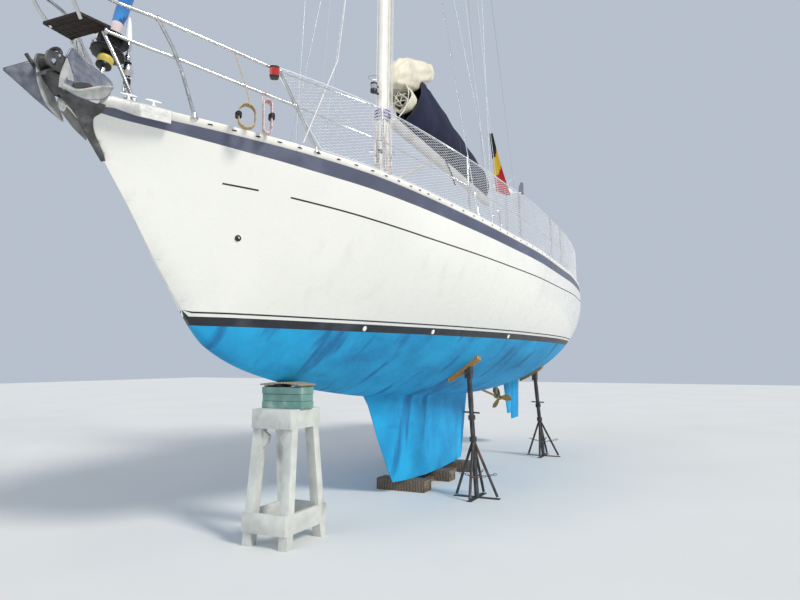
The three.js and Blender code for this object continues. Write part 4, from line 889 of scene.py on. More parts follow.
def netting():
    build = Build()
    half = NET_CELL_LONG / 2
    for row in range(NET_ROWS):
        low = NET_LOW + row * NET_CELL_HIGH
        start = lerp(NET_START_LOW, NET_START_HIGH, (row + 0.5) / NET_ROWS)
        path = []
        for k in range(ceil(start / half), int(NET_END / half)):
            s = k * half
            lift = NET_CELL_HIGH if (k + row) % 2 else 0.0
            path.append(net_point(s, low + lift, NET_SAG * sin(s * NET_SAG_WAVE) ** 2 * (low / NET_TALL)))
        build.tube(path, NET_CORD, 3, side=PORT)
    high = NET_LOW + NET_ROWS * NET_CELL_HIGH
    build.tube([net_point(s, high) for s in spread(NET_START_HIGH, NET_END, 90)], NET_EDGE_CORD, 5)
    build.tube([net_point(s, NET_LOW) for s in spread(NET_START_LOW, NET_END, 90)], NET_FOOT_CORD, 5)
    fore_edge = smooth([net_point(NET_START_HIGH, high), net_point(NET_START_LOW, NET_LOW)], 4)
    build.tube(fore_edge, NET_EDGE_CORD, 5)
    for side, word in SIDES:
        copy = Build()
        copy.add([Vector((p.x, side * p.y, p.z)) for p in build.verts], build.faces)
        copy.piece("netting_" + word, ["net"], slot="white_plastic", angle=60)


# Forestay, furling drum and rolled genoa, all on the stay's axis
STAY_FOOT = point(0.3, 0, 3.56)
STAY_HEAD = point(4.96, 0, 18.95)
STAY_WAY = unit(STAY_FOOT, STAY_HEAD)
STAY_LONG = (STAY_HEAD - STAY_FOOT).length

# The drum's turned parts: radius, and distance along the stay
DRUM_LOW = [
    (0.0, 0.178), (0.045, 0.178), (0.045, 0.198), (0.1, 0.2), (0.117, 0.206), (0.12, 0.214), (0.117, 0.222),
    (0.066, 0.226)]
DRUM_HIGH = [(0.066, 0.321), (0.116, 0.323), (0.12, 0.33), (0.117, 0.338), (0.08, 0.35), (0.05, 0.356),
             (0.046, 0.376), (0.033, 0.386), (0.0, 0.386)]
DRUM_COLLAR = [(0.02, 0.116), (0.05, 0.116), (0.0535, 0.12), (0.056, 0.165), (0.0535, 0.173), (0.0, 0.176)]
DRUM_SWIVEL = [(0.03, 0.095), (0.05, 0.095), (0.0545, 0.1), (0.0545, 0.111), (0.05, 0.115), (0.0, 0.115)]
DRUM_PANEL, PANEL_FROM, PANEL_TO = [(0.117, 0.25), (0.1235, 0.255), (0.1235, 0.29), (0.117, 0.295)], -1.3, 0.1
LINE_TURNS, LINE_FROM, LINE_PITCH = 9, 0.226, 0.0105
LINE_TURN = [(0.066, 0), (0.071, 0.003), (0.071, 0.0075), (0.066, 0.0105)]
LINE_CORE = (0.2265, 0.3205)
RIBS, RIB_OUT, RIB_LOW, RIB_HIGH, RIB_THICK = 12, 0.1185, 0.207, 0.217, 0.006


def furling_drum():
    build = Build()
    build.lathe(STAY_FOOT, STAY_WAY, DRUM_LOW, 40)
    build.lathe(STAY_FOOT, STAY_WAY, DRUM_HIGH, 40)
    u = STAY_WAY.orthogonal().normalized()
    for k in range(RIBS):
        a = TAU * k / RIBS
        rib = STAY_FOOT + (u * cos(a) + STAY_WAY.cross(u) * sin(a)) * RIB_OUT
        build.bar(rib + STAY_WAY * RIB_LOW, rib + STAY_WAY * RIB_HIGH, RIB_THICK, 8)
    turns = [(r, LINE_FROM + LINE_PITCH * k + h) for k in range(LINE_TURNS) for r, h in LINE_TURN]
    wound = [(0.0, LINE_CORE[0])] + turns + [(0.0, LINE_CORE[1])]
    for build.mark, profile in ((1, wound), (2, DRUM_COLLAR), (0, DRUM_SWIVEL)):
        build.lathe(STAY_FOOT, STAY_WAY, profile, 32)
    build.mark = 3
    u = Vector((1, 0, 0)) - STAY_WAY * STAY_WAY.x
    u.normalize()
    v = STAY_WAY.cross(u)
    build.grid([
        [STAY_FOOT + STAY_WAY * h + (u * cos(a) + v * sin(a)) * r for a in spread(PANEL_FROM, PANEL_TO, 15)]
        for r, h in DRUM_PANEL])
    build.piece("furling_drum", ["black", "strap", "yellow", "white"], "furler", slot="black_plastic",
                angle=40, stands_for="furler_drum")


GENOA_LOW, GENOA_TACK, GENOA_HIGH = 0.388, 0.475, STAY_LONG - 0.52
# Columns: distance along the stay, radius of the roll
GENOA_TABLE = [
    (GENOA_LOW, 0.034), (0.46, 0.042), (0.56, 0.048), (0.7, 0.053), (1.4, 0.071), (4.0, 0.069), (9.0, 0.055),
    (13.5, 0.034), (GENOA_HIGH - 0.04, 0.018), (GENOA_HIGH, 0.01),
]
GENOA_PITCH, GENOA_SIDES = 0.42, 28
GENOA_STEP, GENOA_FINE, GENOA_COARSE = 0.03, 63, 150
GENOA_LAP, GENOA_EDGE, GENOA_RUFFLE = 0.07, 0.86, 0.002


def rolled_genoa():
    """The sail wound in a spiral: each turn laps the one before, and its edge strip is darker."""
    radius = table_line(GENOA_TABLE)[0]
    heights = [GENOA_LOW + GENOA_STEP * k for k in range(GENOA_FINE)]
    heights += spread(heights[-1] + GENOA_STEP, GENOA_HIGH, GENOA_COARSE)
    u = STAY_WAY.orthogonal().normalized()
    v = STAY_WAY.cross(u)
    build = Build()
    rings = []
    for h in heights:
        ring = []
        for k in range(GENOA_SIDES):
            a = TAU * k / GENOA_SIDES
            roll = (k / GENOA_SIDES - h / GENOA_PITCH) % 1.0
            ruffle = GENOA_RUFFLE * noise.noise(Vector((k * 0.7, h * 9, 3)))
            r = radius(h) * (1 - GENOA_LAP + GENOA_LAP * roll) + ruffle
            ring.append(STAY_FOOT + STAY_WAY * h + u * (r * cos(a)) + v * (r * sin(a)))
        rings.append(ring)
    for i in range(len(rings) - 1):
        middle = (heights[i] + heights[i + 1]) / 2
        for k in range(GENOA_SIDES):
            roll = ((k + 0.5) / GENOA_SIDES - middle / GENOA_PITCH) % 1.0
            build.mark = 1 if middle < GENOA_TACK else 2 if roll > GENOA_EDGE else 0
            d = (k + 1) % GENOA_SIDES
            build.add([rings[i][k], rings[i][d], rings[i + 1][d], rings[i + 1][k]], [(0, 1, 2, 3)])
    build.mark = 1
    for ring in (rings[0], rings[-1]):
        build.add(ring, [tuple(range(GENOA_SIDES))])
    build.piece("rolled_genoa", ["uv_blue", "tack", "uv_edge"], "furler", slot="sail_blue", angle=60,
                stands_for="furled_genoa", welded=True)


# Boom, sail and cover, in the boom's own axes: x aft of the gooseneck, y to port, z up
GOOSENECK = point(4.905, 0, 4.8)
MAST_RAKE = radians(1.5)
BOOM_AFT = Vector((-cos(MAST_RAKE), 0, -sin(MAST_RAKE)))
BOOM_UP = Vector((-sin(MAST_RAKE), 0, cos(MAST_RAKE)))


def boom_point(x, y, z):
    return GOOSENECK + BOOM_AFT * x + Vector((0, y, 0)) + BOOM_UP * z


def boom_low(x):
    """Height of the boom's upper side, which drops a little aft."""
    return 0.05 - 0.026 * x


# Sections of the cover: x, half width, half height, and how far aft its top leans
COVER_TABLE = [
    (0.4, 0.18, 0.474, 0.5), (0.8, 0.18, 0.451, 0.35), (1.4, 0.165, 0.422, 0.12), (2.4, 0.135, 0.346, 0.0),
    (3.6, 0.11, 0.241, 0.0), (4.06, 0.085, 0.201, 0.0), (4.15, 0.06, 0.15, 0.0),
]
COVER_FORE, COVER_AFT, COVER_STATIONS, COVER_SIDES = 0.4, 4.15, 76, 44
COVER_LIFT = 0.042
LINING_AFT, LINING_IN, LINING_SHRINK = 0.9, 0.007, 0.985
# Sewn bands: place and width. The loose strap hangs from the cover past the boom.
COVER_STRAPS = [(2.4, 0.05), (3.45, 0.04)]
STRAP_PROUD, STRAP_GROW = 0.003, 1.012
LOOSE_STRAP = [
    (1.6, 0.12, 0.2), (1.72, 0.085, 0.08), (1.95, 0.082, -0.06), (2.15, 0.078, -0.17), (2.3, 0.08, -0.3)]


def cover_ring(x, half, tall, lean, grow=1.0):
    """A pear-shaped section: a ridge at the top, full below, and pinched in under the boom's groove."""
    ring = []
    for k in range(COVER_SIDES):
        a = TAU * k / COVER_SIDES
        up = cos(a)
        wide = sin(a) * (1.0 - 0.3 * max(0.0, up)) * (1.0 - 0.35 * max(0.0, -up) ** 3)
        place = Vector((x * 2.0 + up, up * 2.6, sin(a) * 1.5))
        fold = 0.016 * noise.noise(place) + 0.007 * noise.noise(place * 3.1)
        sag = 0.012 * sin(x * 9.0) * max(0.0, up) ** 2
        z = boom_low(x) + COVER_LIFT + tall * (1 + up * grow) - sag
        ring.append(boom_point(x + lean * (1 + up) / 2, wide * half * grow + fold, z + fold * 0.4))
    return ring


def sail_cover():
    half, tall, lean = table_line(COVER_TABLE)
    build = Build()
    rows = [cover_ring(x, half(x), tall(x), lean(x)) for x in spread(COVER_FORE, COVER_AFT, COVER_STATIONS)]
    build.grid(rows, wrap=True)
    build.add(rows[-1], [tuple(range(COVER_SIDES))])
    inner = [
        cover_ring(x, half(x) - LINING_IN, tall(x) - LINING_IN, lean(x), LINING_SHRINK)
        for x in spread(COVER_FORE, LINING_AFT, 6)]
    build.grid([rows[0]] + inner, wrap=True)
    build.add(inner[-1], [tuple(range(COVER_SIDES))])
    build.mark = 1
    hem = [lerp(p, q, 0.5) for p, q in zip(rows[0], inner[0])]
    build.tube(hem + hem[:1], 0.008, 8)
    for x, wide in COVER_STRAPS:
        build.grid([
            cover_ring(at, half(at) + STRAP_PROUD, tall(at), lean(at), STRAP_GROW)
            for at in spread(x - wide / 2, x + wide / 2, 3)], wrap=True)
    build.tube(smooth([boom_point(*row) for row in LOOSE_STRAP], 6), 0.014, 8, side=PORT, flat=0.35)
    build.piece("sail_cover_cloth", ["navy", "strap"], "boom", slot="sail_cover_navy", angle=70,
                stands_for="sail_cover")


# The sail's rolled head: x, middle height, half width, half height
BUNDLE_TABLE = [
    (0.1, 0.66, 0.1, 0.13), (0.3, 0.76, 0.16, 0.22), (0.6, 0.86, 0.17, 0.25), (0.95, 1.02, 0.15, 0.215),
    (1.25, 1.18, 0.115, 0.16), (1.5, 1.26, 0.06, 0.12),
]
BUNDLE_FORE, BUNDLE_AFT, BUNDLE_STATIONS, BUNDLE_SIDES = 0.1, 1.5, 44, 56
BUNDLE_TAPER_FROM, BUNDLE_TAPER = 1.3, 0.22
# The open mouth of the rolled luff. Its rings give x, share of the radius, and phase of their waves.
MOUTH_HIGH, MOUTH_RADIUS, MOUTH_SIDES = 0.432, 0.165, 40
MOUTH_INSIDE = [(0.62, 0.74, 1.0), (0.45, 0.82, 0.6), (0.37, 0.9, 0.3)]
MOUTH_ROLLS = [(0.355, 0.97, 0.3), (0.335, 1, 0.4), (0.345, 1.06, 0.5), (0.42, 1.06, 0.6), (0.52, 0.98, 0.9)]
MOUTH_BACK = (0.6, 0.76, 1.0)
CURL_STEPS, CURL_FROM, CURL_TURN, CURL_WIDE, CURL_CLOSE, CURL_LONG = 50, 0.6, 0.16, 0.84, 0.0115, 0.22
LACES = 6
HANGING_LINE = [(0.3, 0.1, 0.62), (0.28, 0.16, 0.45), (0.3, 0.1, 0.25), (0.2, 0.06, 0.1)]


def mouth_point(x, a, r, lower=0.0):
    return boom_point(x, r * cos(a), MOUTH_HIGH - lower + r * sin(a))


def mouth_ring(x, part, phase):
    ring = []
    for k in range(MOUTH_SIDES):
        a = TAU * k / MOUTH_SIDES
        r = MOUTH_RADIUS * part * (1 + 0.05 * sin(3 * a + phase) + 0.03 * sin(7 * a + 2 * phase))
        ring.append(boom_point(x + 0.02 * sin(2 * a + phase), r * cos(a), MOUTH_HIGH + r * 1.06 * sin(a)))
    return ring


def sail_bundle():
    """The flaked head of the mainsail on its cover, and the rolled luff that stands open below it."""
    build = Build()
    middle, half, tall = table_line(BUNDLE_TABLE)
    rows = []
    for x in spread(BUNDLE_FORE, BUNDLE_AFT, BUNDLE_STATIONS):
        taper = sqrt(max(0.02, 1 - max(0.0, (x - BUNDLE_TAPER_FROM) / BUNDLE_TAPER) ** 2))
        ring = []
        for k in range(BUNDLE_SIDES):
            a = TAU * k / BUNDLE_SIDES
            place = Vector((cos(a) * 2.2, sin(a) * 2.2, x * 3.2))
            ruffle = 1 + 0.16 * noise.noise(place) + 0.07 * noise.noise(place * 2.7)
            ruffle += 0.035 * sin(9 * a + 6 * x)
            reach = ruffle * taper
            ring.append(boom_point(x, half(x) * cos(a) * reach, middle(x) + tall(x) * sin(a) * reach))
        rows.append(ring)
    build.grid(rows, wrap=True, caps=True)
    build.grid([mouth_ring(*row) for row in MOUTH_INSIDE + MOUTH_ROLLS], wrap=True)
    edge = []
    for k in range(CURL_STEPS):
        a = CURL_FROM + CURL_TURN * k
        edge.append(mouth_point(0.4 + 0.01 * sin(3 * a), a, MOUTH_RADIUS * (CURL_WIDE - CURL_CLOSE * k)))
    build.grid([edge, [p + BOOM_AFT * CURL_LONG for p in edge]])
    build.tube(edge, 0.007, 6)
    # A dark disc closes the mouth's far end: painted shade inside the rolled luff.
    build.mark = 1
    build.add(mouth_ring(*MOUTH_BACK), [tuple(range(MOUTH_SIDES))])
    build.mark = 2
    for k in range(LACES):
        a = 1.1 * k + 0.4
        r = MOUTH_RADIUS * (0.85 if k % 2 else 0.6)
        start, end = mouth_point(0.33, a, r), mouth_point(0.36, a + 2.4, r, 0.02)
        build.tube(smooth([start, lerp(start, end, 0.5) - BOOM_AFT * 0.03, end], 8), 0.007, 8)
    build.tube(smooth([boom_point(*row) for row in HANGING_LINE], 8), 0.008, 8)
    build.piece("sail_bundle", ["sail", "slot", "rope"], "boom", slot="sail_cover_navy", angle=80)


# Limp ensign on a halyard between the port rail and the spreader: z, s, y, reach aft of the fold
ENSIGN_TABLE = [
    (3.725, 5.19, 1.41, 0.15), (3.9, 5.175, 1.395, 0.11), (4.2, 5.15, 1.37, 0.05), (4.47, 5.13, 1.345, 0.014)]
FLAG_LOW, FLAG_HIGH, FLAG_HOIST = 3.725, 4.47, 0.745
FLAG_PLEATS, PLEAT_TIGHT, PLEAT_LOOSE, FLAG_DROOP = 5, 0.018, 0.02, 0.05
FLAG_ROWS, FLAG_COLUMNS = 40, 60
BAND_SLANT, BAND_SHIFT, BLACK_OVER, YELLOW_OVER = 0.22, 0.1, 0.66, 0.36
HALYARD = [(5.2, 1.49, 3.05), (5.13, 1.345, 4.47), (4.95, 0.85, 10.9)]


def ensign():
    place_s, place_y, reach = table_line(ENSIGN_TABLE)
    build = Build()
    rows = []
    for z in spread(FLAG_LOW, FLAG_HIGH, FLAG_ROWS):
        below = FLAG_HIGH - z
        row = []
        for t in spread(0, 1, FLAG_COLUMNS):
            depth = (PLEAT_TIGHT + PLEAT_LOOSE * below) * sin(TAU * FLAG_PLEATS * t)
            aft = reach(z) * t
            row.append(point(
                place_s(z) + aft + 0.5 * depth, place_y(z) + aft * 0.7 - depth, z - FLAG_DROOP * t * below))
        rows.append(row)
    for i in range(FLAG_ROWS - 1):
        for k in range(FLAG_COLUMNS - 1):
            up = (i + 0.5) / (FLAG_ROWS - 1) - BAND_SLANT * (k / (FLAG_COLUMNS - 1)) + BAND_SHIFT
            build.mark = 0 if up > BLACK_OVER else 1 if up > YELLOW_OVER else 2
            build.add([rows[i][k], rows[i][k + 1], rows[i + 1][k + 1], rows[i + 1][k]], [(0, 1, 2, 3)])
    flag = build.piece("ensign_cloth", ["flag_black", "flag_yellow", "flag_red"], slot="flag_cloth", angle=80,
                       stands_for="ensign", welded=True)
    line = Build()
    line.tube([point(*row) for row in HALYARD], 0.003, 6)
    line.piece("flag_halyard", ["rope"], slot="white_plastic", angle=60)


# Wind generator: turned parts along its own axis, and the fin's outline aft and up
GENERATOR = point(11.87, -0.42, 5.48)
GENERATOR_TURN = radians(-25)
GEN_FORE = Vector((cos(GENERATOR_TURN), sin(GENERATOR_TURN), 0))
GEN_SIDE = UP.cross(GEN_FORE)
GEN_SHELL = [
    (0.0, -0.2), (0.02, -0.196), (0.045, -0.17), (0.068, -0.11), (0.082, -0.03), (0.085, 0.04), (0.08, 0.09),
    (0.076, 0.094), (0.076, 0.1), (0.07, 0.112), (0.05, 0.12), (0.0, 0.12)]
GEN_NECK, GEN_NECK_DOWN = [(0.03, 0), (0.033, 0.01), (0.033, 0.04), (0.05, 0.09)], 0.104
GEN_HUB = [
    (0.0, -0.03), (0.058, -0.03), (0.06, -0.02), (0.06, 0.008), (0.054, 0.028), (0.035, 0.05), (0.0, 0.061)]
GEN_FIN = [
    (-0.43, 0.02), (-0.6, 0.0), (-0.615, 0.03), (-0.61, 0.25), (-0.585, 0.3), (-0.52, 0.295), (-0.46, 0.2)]
FIN_THICK = 0.006
ROTOR_AHEAD = 0.17
BLADES, BLADE_FOOT, BLADE_LONG, BLADE_SIDES = 6, 0.045, 0.405, 16
CHORD_FOOT, CHORD_TIP, THICK_FOOT, THICK_TIP, TWIST_FOOT, TWIST_TIP = 0.072, 0.036, 0.011, 0.004, 28, 8


def blade_ring(hub, out, t):
    """A blade's section at a share of its length, cambered and twisted."""
    across = GEN_FORE.cross(out)
    chord = lerp(CHORD_FOOT, CHORD_TIP, t) * (1 if t > 0.08 else 0.75)
    thick = lerp(THICK_FOOT, THICK_TIP, t)
    twist = radians(lerp(TWIST_FOOT, TWIST_TIP, t))
    ring = []
    for k in range(BLADE_SIDES):
        b = TAU * k / BLADE_SIDES
        u, w = chord / 2 * cos(b), thick / 2 * sin(b) + 0.005 * cos(b) ** 2
        ring.append(
            hub + out * (BLADE_FOOT + BLADE_LONG * t) + across * (u * cos(twist) - w * sin(twist))
            + GEN_FORE * (u * sin(twist) + w * cos(twist) - 0.004))
    return ring


def wind_generator():
    body = Build()
    body.lathe(GENERATOR, GEN_FORE, GEN_SHELL, 36)
    body.lathe(GENERATOR - UP * GEN_NECK_DOWN, UP, GEN_NECK, 20)
    body.bar(GENERATOR - GEN_FORE * 0.17, GENERATOR - GEN_FORE * 0.52 + UP * 0.04, 0.012, 12)
    body.mark = 1
    fin = [GENERATOR + GEN_FORE * x + UP * z - GEN_SIDE * (FIN_THICK / 2) for x, z in GEN_FIN]
    body.slab(fin, GEN_SIDE * FIN_THICK)
    body.piece("generator_shell", ["white", "galvanised"], "generator", slot="white_plastic", angle=35,
               stands_for="generator_body")
    hub = GENERATOR + GEN_FORE * ROTOR_AHEAD
    rotor = Build()
    rotor.lathe(hub, GEN_FORE, GEN_HUB, 32)
    for k in range(BLADES):
        a = TAU * k / BLADES
        out = UP * cos(a) + GEN_SIDE * sin(a)
        rotor.grid([blade_ring(hub, out, t) for t in spread(0, 1, 14)], wrap=True, caps=True)
    rotor.piece("generator_blades", ["white"], "rotor", slot="white_plastic", angle=40,
                stands_for="generator_rotor")


capping()
pulpit()
netting()
furling_drum()
rolled_genoa()
sail_cover()
sail_bundle()
ensign()
wind_generator()


# Bow: mooring plates, cleats, channel, guard and post
PLATE_FORE, PLATE_AFT, PLATE_TAPER = 0.155, 0.56, 0.2
PLATE_DROP_FORE, PLATE_DROP_AFT = 0.066, 0.097
# Section of the plate: out from the hull's edge, up from the sheer. The face hangs lower by the plate's drop.
PLATE_OVER = [
    (-0.075, 0.004), (-0.075, 0.008), (-0.01, 0.008), (0.006, 0.005), (0.0135, -0.004), (0.0155, -0.02)]
PLATE_FACE = [(0.0155, 0.0), (0.0125, -0.003), (0.01, 0.0)]
PLATE_BACK = [(0.01, -0.012), (0.0, 0.001)]
# Small round studs on the plate, each with its axis turned outboard
STUDS, STUD_FORE, STUD_STEP, STUD_UP, STUD_OUT = 4, 0.22, 0.095, 0.0155, -0.05
STUD_WAY = Vector((0.55, 0.83, 0.0))
STUD = [(0.0055, -0.002), (0.0055, 0.001), (0.004, 0.003), (0.0, 0.0035)]
FAIRLEAD_FORE, FAIRLEAD_AFT, FAIRLEAD_DOWN = 0.075, 0.158, 0.024
FAIRLEAD_WIDE, FAIRLEAD_HIGH, FAIRLEAD_IN, FAIRLEAD_CANT = 0.03, 0.043, 0.012, 0.045
BOW_CLEATS = (0.335, 0.48)
BOW_CLEAT = [(0.022, 0), (0.02, 0.006), (0.01, 0.014), (0.009, 0.036), (0.011, 0.042)]
HORN_THICK = 0.005


def horn_cleat(build, foot, way, post, high, half, swell, count):
    """A turned post with a bar across it that thickens towards its middle."""
    build.lathe(foot, UP, post, 16)
    path = [foot + UP * high + way * t for t in spread(-half, half, count)]
    build.tube(path, lambda t: HORN_THICK + swell * sin(pi * t), 10)


def chock_plates():
    """A pale alloy plate wraps each bow's edge, with a rounded fairlead at its fore end."""
    build = Build()
    rows = []
    for s in spread(PLATE_FORE, PLATE_AFT, 18):
        drop = lerp(PLATE_DROP_FORE, PLATE_DROP_AFT, min(1.0, (s - PLATE_FORE) / PLATE_TAPER))
        section = PLATE_OVER + [(out, up - drop) for out, up in PLATE_FACE] + PLATE_BACK
        rows.append([point(s, max(0.01, breadth(s) + out), sheer(s) + up) for out, up in section])
    build.grid(rows, wrap=True, caps=True)
    for k in range(STUDS):
        build.lathe(aside(STUD_FORE + STUD_STEP * k, STUD_UP, STUD_OUT), STUD_WAY, STUD, 12)
    build.mark = 1
    rows = []
    for t in spread(0.0, 1.0, 9):
        s = lerp(FAIRLEAD_FORE, FAIRLEAD_AFT, t)
        swell = sqrt(1 - (1 - t) ** 2) * 0.92 + 0.08
        y = breadth(PLATE_FORE) - FAIRLEAD_IN - FAIRLEAD_CANT * (1 - t)
        centre = point(s, y, sheer(s) - FAIRLEAD_DOWN)
        rows.append(loop(centre, PORT, UP, FAIRLEAD_WIDE * swell, FAIRLEAD_HIGH * swell, 21)[:-1])
    build.grid(rows, wrap=True, caps=True)
    for s in BOW_CLEATS:
        horn_cleat(build, aside(s, 0.008, -0.03), along_side(s), BOW_CLEAT, 0.041, 0.056, 0.005, 9)
    build.mirrored()
    build.piece("chock_plates", ["cast", "white"], slot="galvanised", angle=40)


# Channel for the chain and rode: floor, cheeks and roller, on the stem head. Lines give s and z.
CHANNEL_STARBOARD, CHANNEL_PORT = -0.03, 0.07
CHEEK_THICK, CHEEK_RIM = 0.01, 0.0075
CHEEK_LINE = [
    (-0.11, 3.438), (-0.15, 3.46), (-0.168, 3.49), (-0.163, 3.525), (-0.145, 3.548), (-0.06, 3.56),
    (0.06, 3.52), (0.32, 3.45), (0.32, 3.438)]
LIP_LINE = [(0.32, 3.444), (-0.09, 3.444), (-0.13, 3.438), (-0.155, 3.42), (-0.16, 3.4)]
WEDGE_LINE = [
    (-0.11, 3.442), (-0.07, 3.395), (-0.02, 3.345), (0.0, 3.33), (0.16, 3.33), (0.29, 3.35), (0.3, 3.442)]
WEDGE_SIDES, WEDGE_HALF = (-0.062, 0.052), 0.06
FLOOR_LINE, FLOOR_Z, FLOOR_THICK = [(-0.1, -0.06), (-0.1, 0.062), (0.3, 0.062), (0.3, -0.06)], 3.428, 0.012
ROLLER_S, ROLLER_Z, ROLLER_HALF = -0.115, 3.492, 0.042
ROLLER = [
    (0.012, 0), (0.036, 0.002), (0.037, 0.01), (0.025, 0.028), (0.021, 0.042), (0.025, 0.056), (0.037, 0.074),
    (0.036, 0.082), (0.012, 0.084)]
ROLLER_BOLT = [(0.02, 0), (0.02, 0.009), (0.012, 0.011), (0.0, 0.012)]
KEEPER_S, KEEPER_Z = -0.075, 3.545
KEEPER_BOLT = [(0.012, 0), (0.012, 0.006), (0.0, 0.008)]
BOW_LINKS = [(-0.085, 0.015, 3.53), (-0.05, 0.03, 3.525)]
BOW_SHACKLE = [
    (-0.07, -0.045, 3.55), (-0.066, -0.05, 3.585), (-0.06, -0.03, 3.61), (-0.055, 0.0, 3.618),
    (-0.05, 0.03, 3.61), (-0.045, 0.045, 3.585), (-0.045, 0.04, 3.55)]
STAY_FITTING = [
    (0.0, -0.11), (0.018, -0.11), (0.018, -0.02), (0.026, -0.016), (0.026, 0.016), (0.018, 0.02),
    (0.018, 0.092), (0.0, 0.092)]


def bow_channel():
    build = Build()
    # The cheeks, lip, wedges and floor take the near-black guard look: painted shade on the channel's metal.
    for y in (CHANNEL_STARBOARD - CHEEK_THICK / 2, CHANNEL_PORT - CHEEK_THICK / 2):
        build.slab([point(s, y, z) for s, z in smooth_pairs(CHEEK_LINE)], PORT * CHEEK_THICK)
        build.tube([point(s, y + CHEEK_THICK / 2, z) for s, z in smooth_pairs(CHEEK_LINE[1:8])], CHEEK_RIM, 8)
    rows = []
    for s, z in smooth_pairs(LIP_LINE):
        rows.append([point(s, y, z) for y in (CHANNEL_STARBOARD, CHANNEL_PORT)]
                    + [point(s - 0.002, y, z - 0.009) for y in (CHANNEL_PORT, CHANNEL_STARBOARD)])
    build.grid(rows, wrap=True, caps=True)
    for side in WEDGE_SIDES:
        build.slab([point(s, side, z) for s, z in WEDGE_LINE], PORT * CHEEK_THICK)
    section = [(-0.004, -WEDGE_HALF), (-0.004, WEDGE_HALF), (0.006, WEDGE_HALF), (0.006, -WEDGE_HALF)]
    build.grid([[point(s + ds, y, z) for ds, y in section] for s, z in WEDGE_LINE[:4]], wrap=True, caps=True)
    build.slab([point(s, y, FLOOR_Z) for s, y in FLOOR_LINE], UP * FLOOR_THICK)
    build.mark = 1
    middle = (CHANNEL_STARBOARD + CHANNEL_PORT) / 2
    build.lathe(point(ROLLER_S, middle - ROLLER_HALF, ROLLER_Z), PORT, ROLLER, 28)
    build.mark = 2
    for y, way in ((CHANNEL_STARBOARD - CHEEK_THICK / 2, -PORT), (CHANNEL_PORT + CHEEK_THICK / 2, PORT)):
        build.lathe(point(ROLLER_S, y, ROLLER_Z), way, ROLLER_BOLT, 6)
        build.lathe(point(KEEPER_S, y, KEEPER_Z), way, KEEPER_BOLT, 6)
    build.bar(point(KEEPER_S, -0.04, KEEPER_Z), point(KEEPER_S, 0.08, KEEPER_Z), 0.009, 12)
    for place in BOW_LINKS:
        build.tube(loop(point(*place), AFT, Vector((0, 0.01, 0.035)), 0.018, 1.0, 21), 0.0065, 8)
    build.mark = 3
    build.tube(smooth([point(*row) for row in BOW_SHACKLE], 6), 0.0135, 12)
    build.mark = 4
    build.lathe(STAY_FOOT, STAY_WAY, STAY_FITTING, 16)
    for y in (-0.019, 0.019):
        build.bar(STAY_FOOT + STAY_WAY * 0.03 + PORT * y, STAY_FOOT + STAY_WAY * 0.1 + PORT * y, 0.008, 8)
    build.piece("bow_channel", ["guard", "rubber", "chrome", "black", "steel"], slot="galvanised", angle=35,
                stands_for="bow_roller")


def smooth_pairs(rows, steps=5):
    path = smooth([Vector((a, b, 0)) for a, b in rows], steps)
    return [(p.x, p.y) for p in path]


# Guard round the stem head and upper stem. Rows: z, s of its nose, how far aft it reaches
GUARD_TABLE = [
    (2.968, 0.352, 0.012), (2.985, 0.333, 0.026), (3.02, 0.3, 0.042), (3.08, 0.245, 0.055),
    (3.15, 0.185, 0.066), (3.225, 0.132, 0.085), (3.26, 0.105, 0.13), (3.3, 0.03, 0.2), (3.35, -0.02, 0.24),
    (3.4, -0.05, 0.24)]
GUARD_TOP, GUARD_LOW, GUARD_STEPS = 3.4, 2.968, 12


def stem_guard():
    """A folded metal guard, full on the port side and narrower to starboard; its near-black colour is painted
    shade.
    """
    build = Build()
    nose, reach = table_line(GUARD_TABLE)
    outer, inner = [], []
    for z in spread(GUARD_TOP, GUARD_LOW, 40):
        here, long = nose(z), reach(z)
        ring = []
        for k in range(GUARD_STEPS + 1):
            t = k / GUARD_STEPS
            s = here + long * (1 - sqrt(1 - t * t)) * 0.5 + long * t * 0.5
            close = half_breadth(max(s, 0.0), min(z, sheer(s) - 0.03)) if s > 0 else KEEL_FLAT
            y = max(close + 0.004, 0.02) * min(1.0, 2.2 * t) ** 0.6
            ring.append((s - 0.008, y + 0.004 * (t > 0.3)))
        far = [(lerp(here, s, 0.4), 0.4 * y) for s, y in ring[1:]]
        outer.append([point(s, y, z) for s, y in reversed(ring)] + [point(s, -y, z) for s, y in far])
        inner.append([point(s + 0.006, y - 0.003 if y > 0.004 else 0.0, z) for s, y in reversed(ring)]
                     + [point(s + 0.006, -y + 0.003 if y > 0.004 else 0.0, z) for s, y in far])
    build.grid([a + b[::-1] for a, b in zip(outer, inner)], wrap=True, caps=True)
    build.piece("stem_guard", ["guard"], slot="galvanised", angle=50, stands_for="stem_plate")


# The post. Profiles give radius and height, clamps low edge, high edge and radius, and bindings low turn,
# number of turns and radius, all above the keel's foot.
POST_S, POST_THICK, BINDING = 0.542, 0.014, 0.005
POST_TUBE = [
    (0.05, 3.335), (0.05, 3.345), (0.024, 3.35), (0.024, 3.43), (0.03, 3.435), (0.03, 3.47),
    (POST_THICK, 3.48), (POST_THICK, 3.95)]
POST_CLAMPS = [(3.52, 3.6, 0.034), (3.655, 3.75, 0.045), (3.78, 3.83, 0.026), (3.85, 3.94, 0.027)]
POST_TOP = [(0.016, 3.94), (0.026, 3.945), (0.026, 3.97), (0.018, 4.08), (0.01, 4.118), (0.0, 4.124)]
POST_BINDINGS = [(3.445, 5, 0.034), (3.61, 4, 0.022), (3.758, 2, 0.024)]


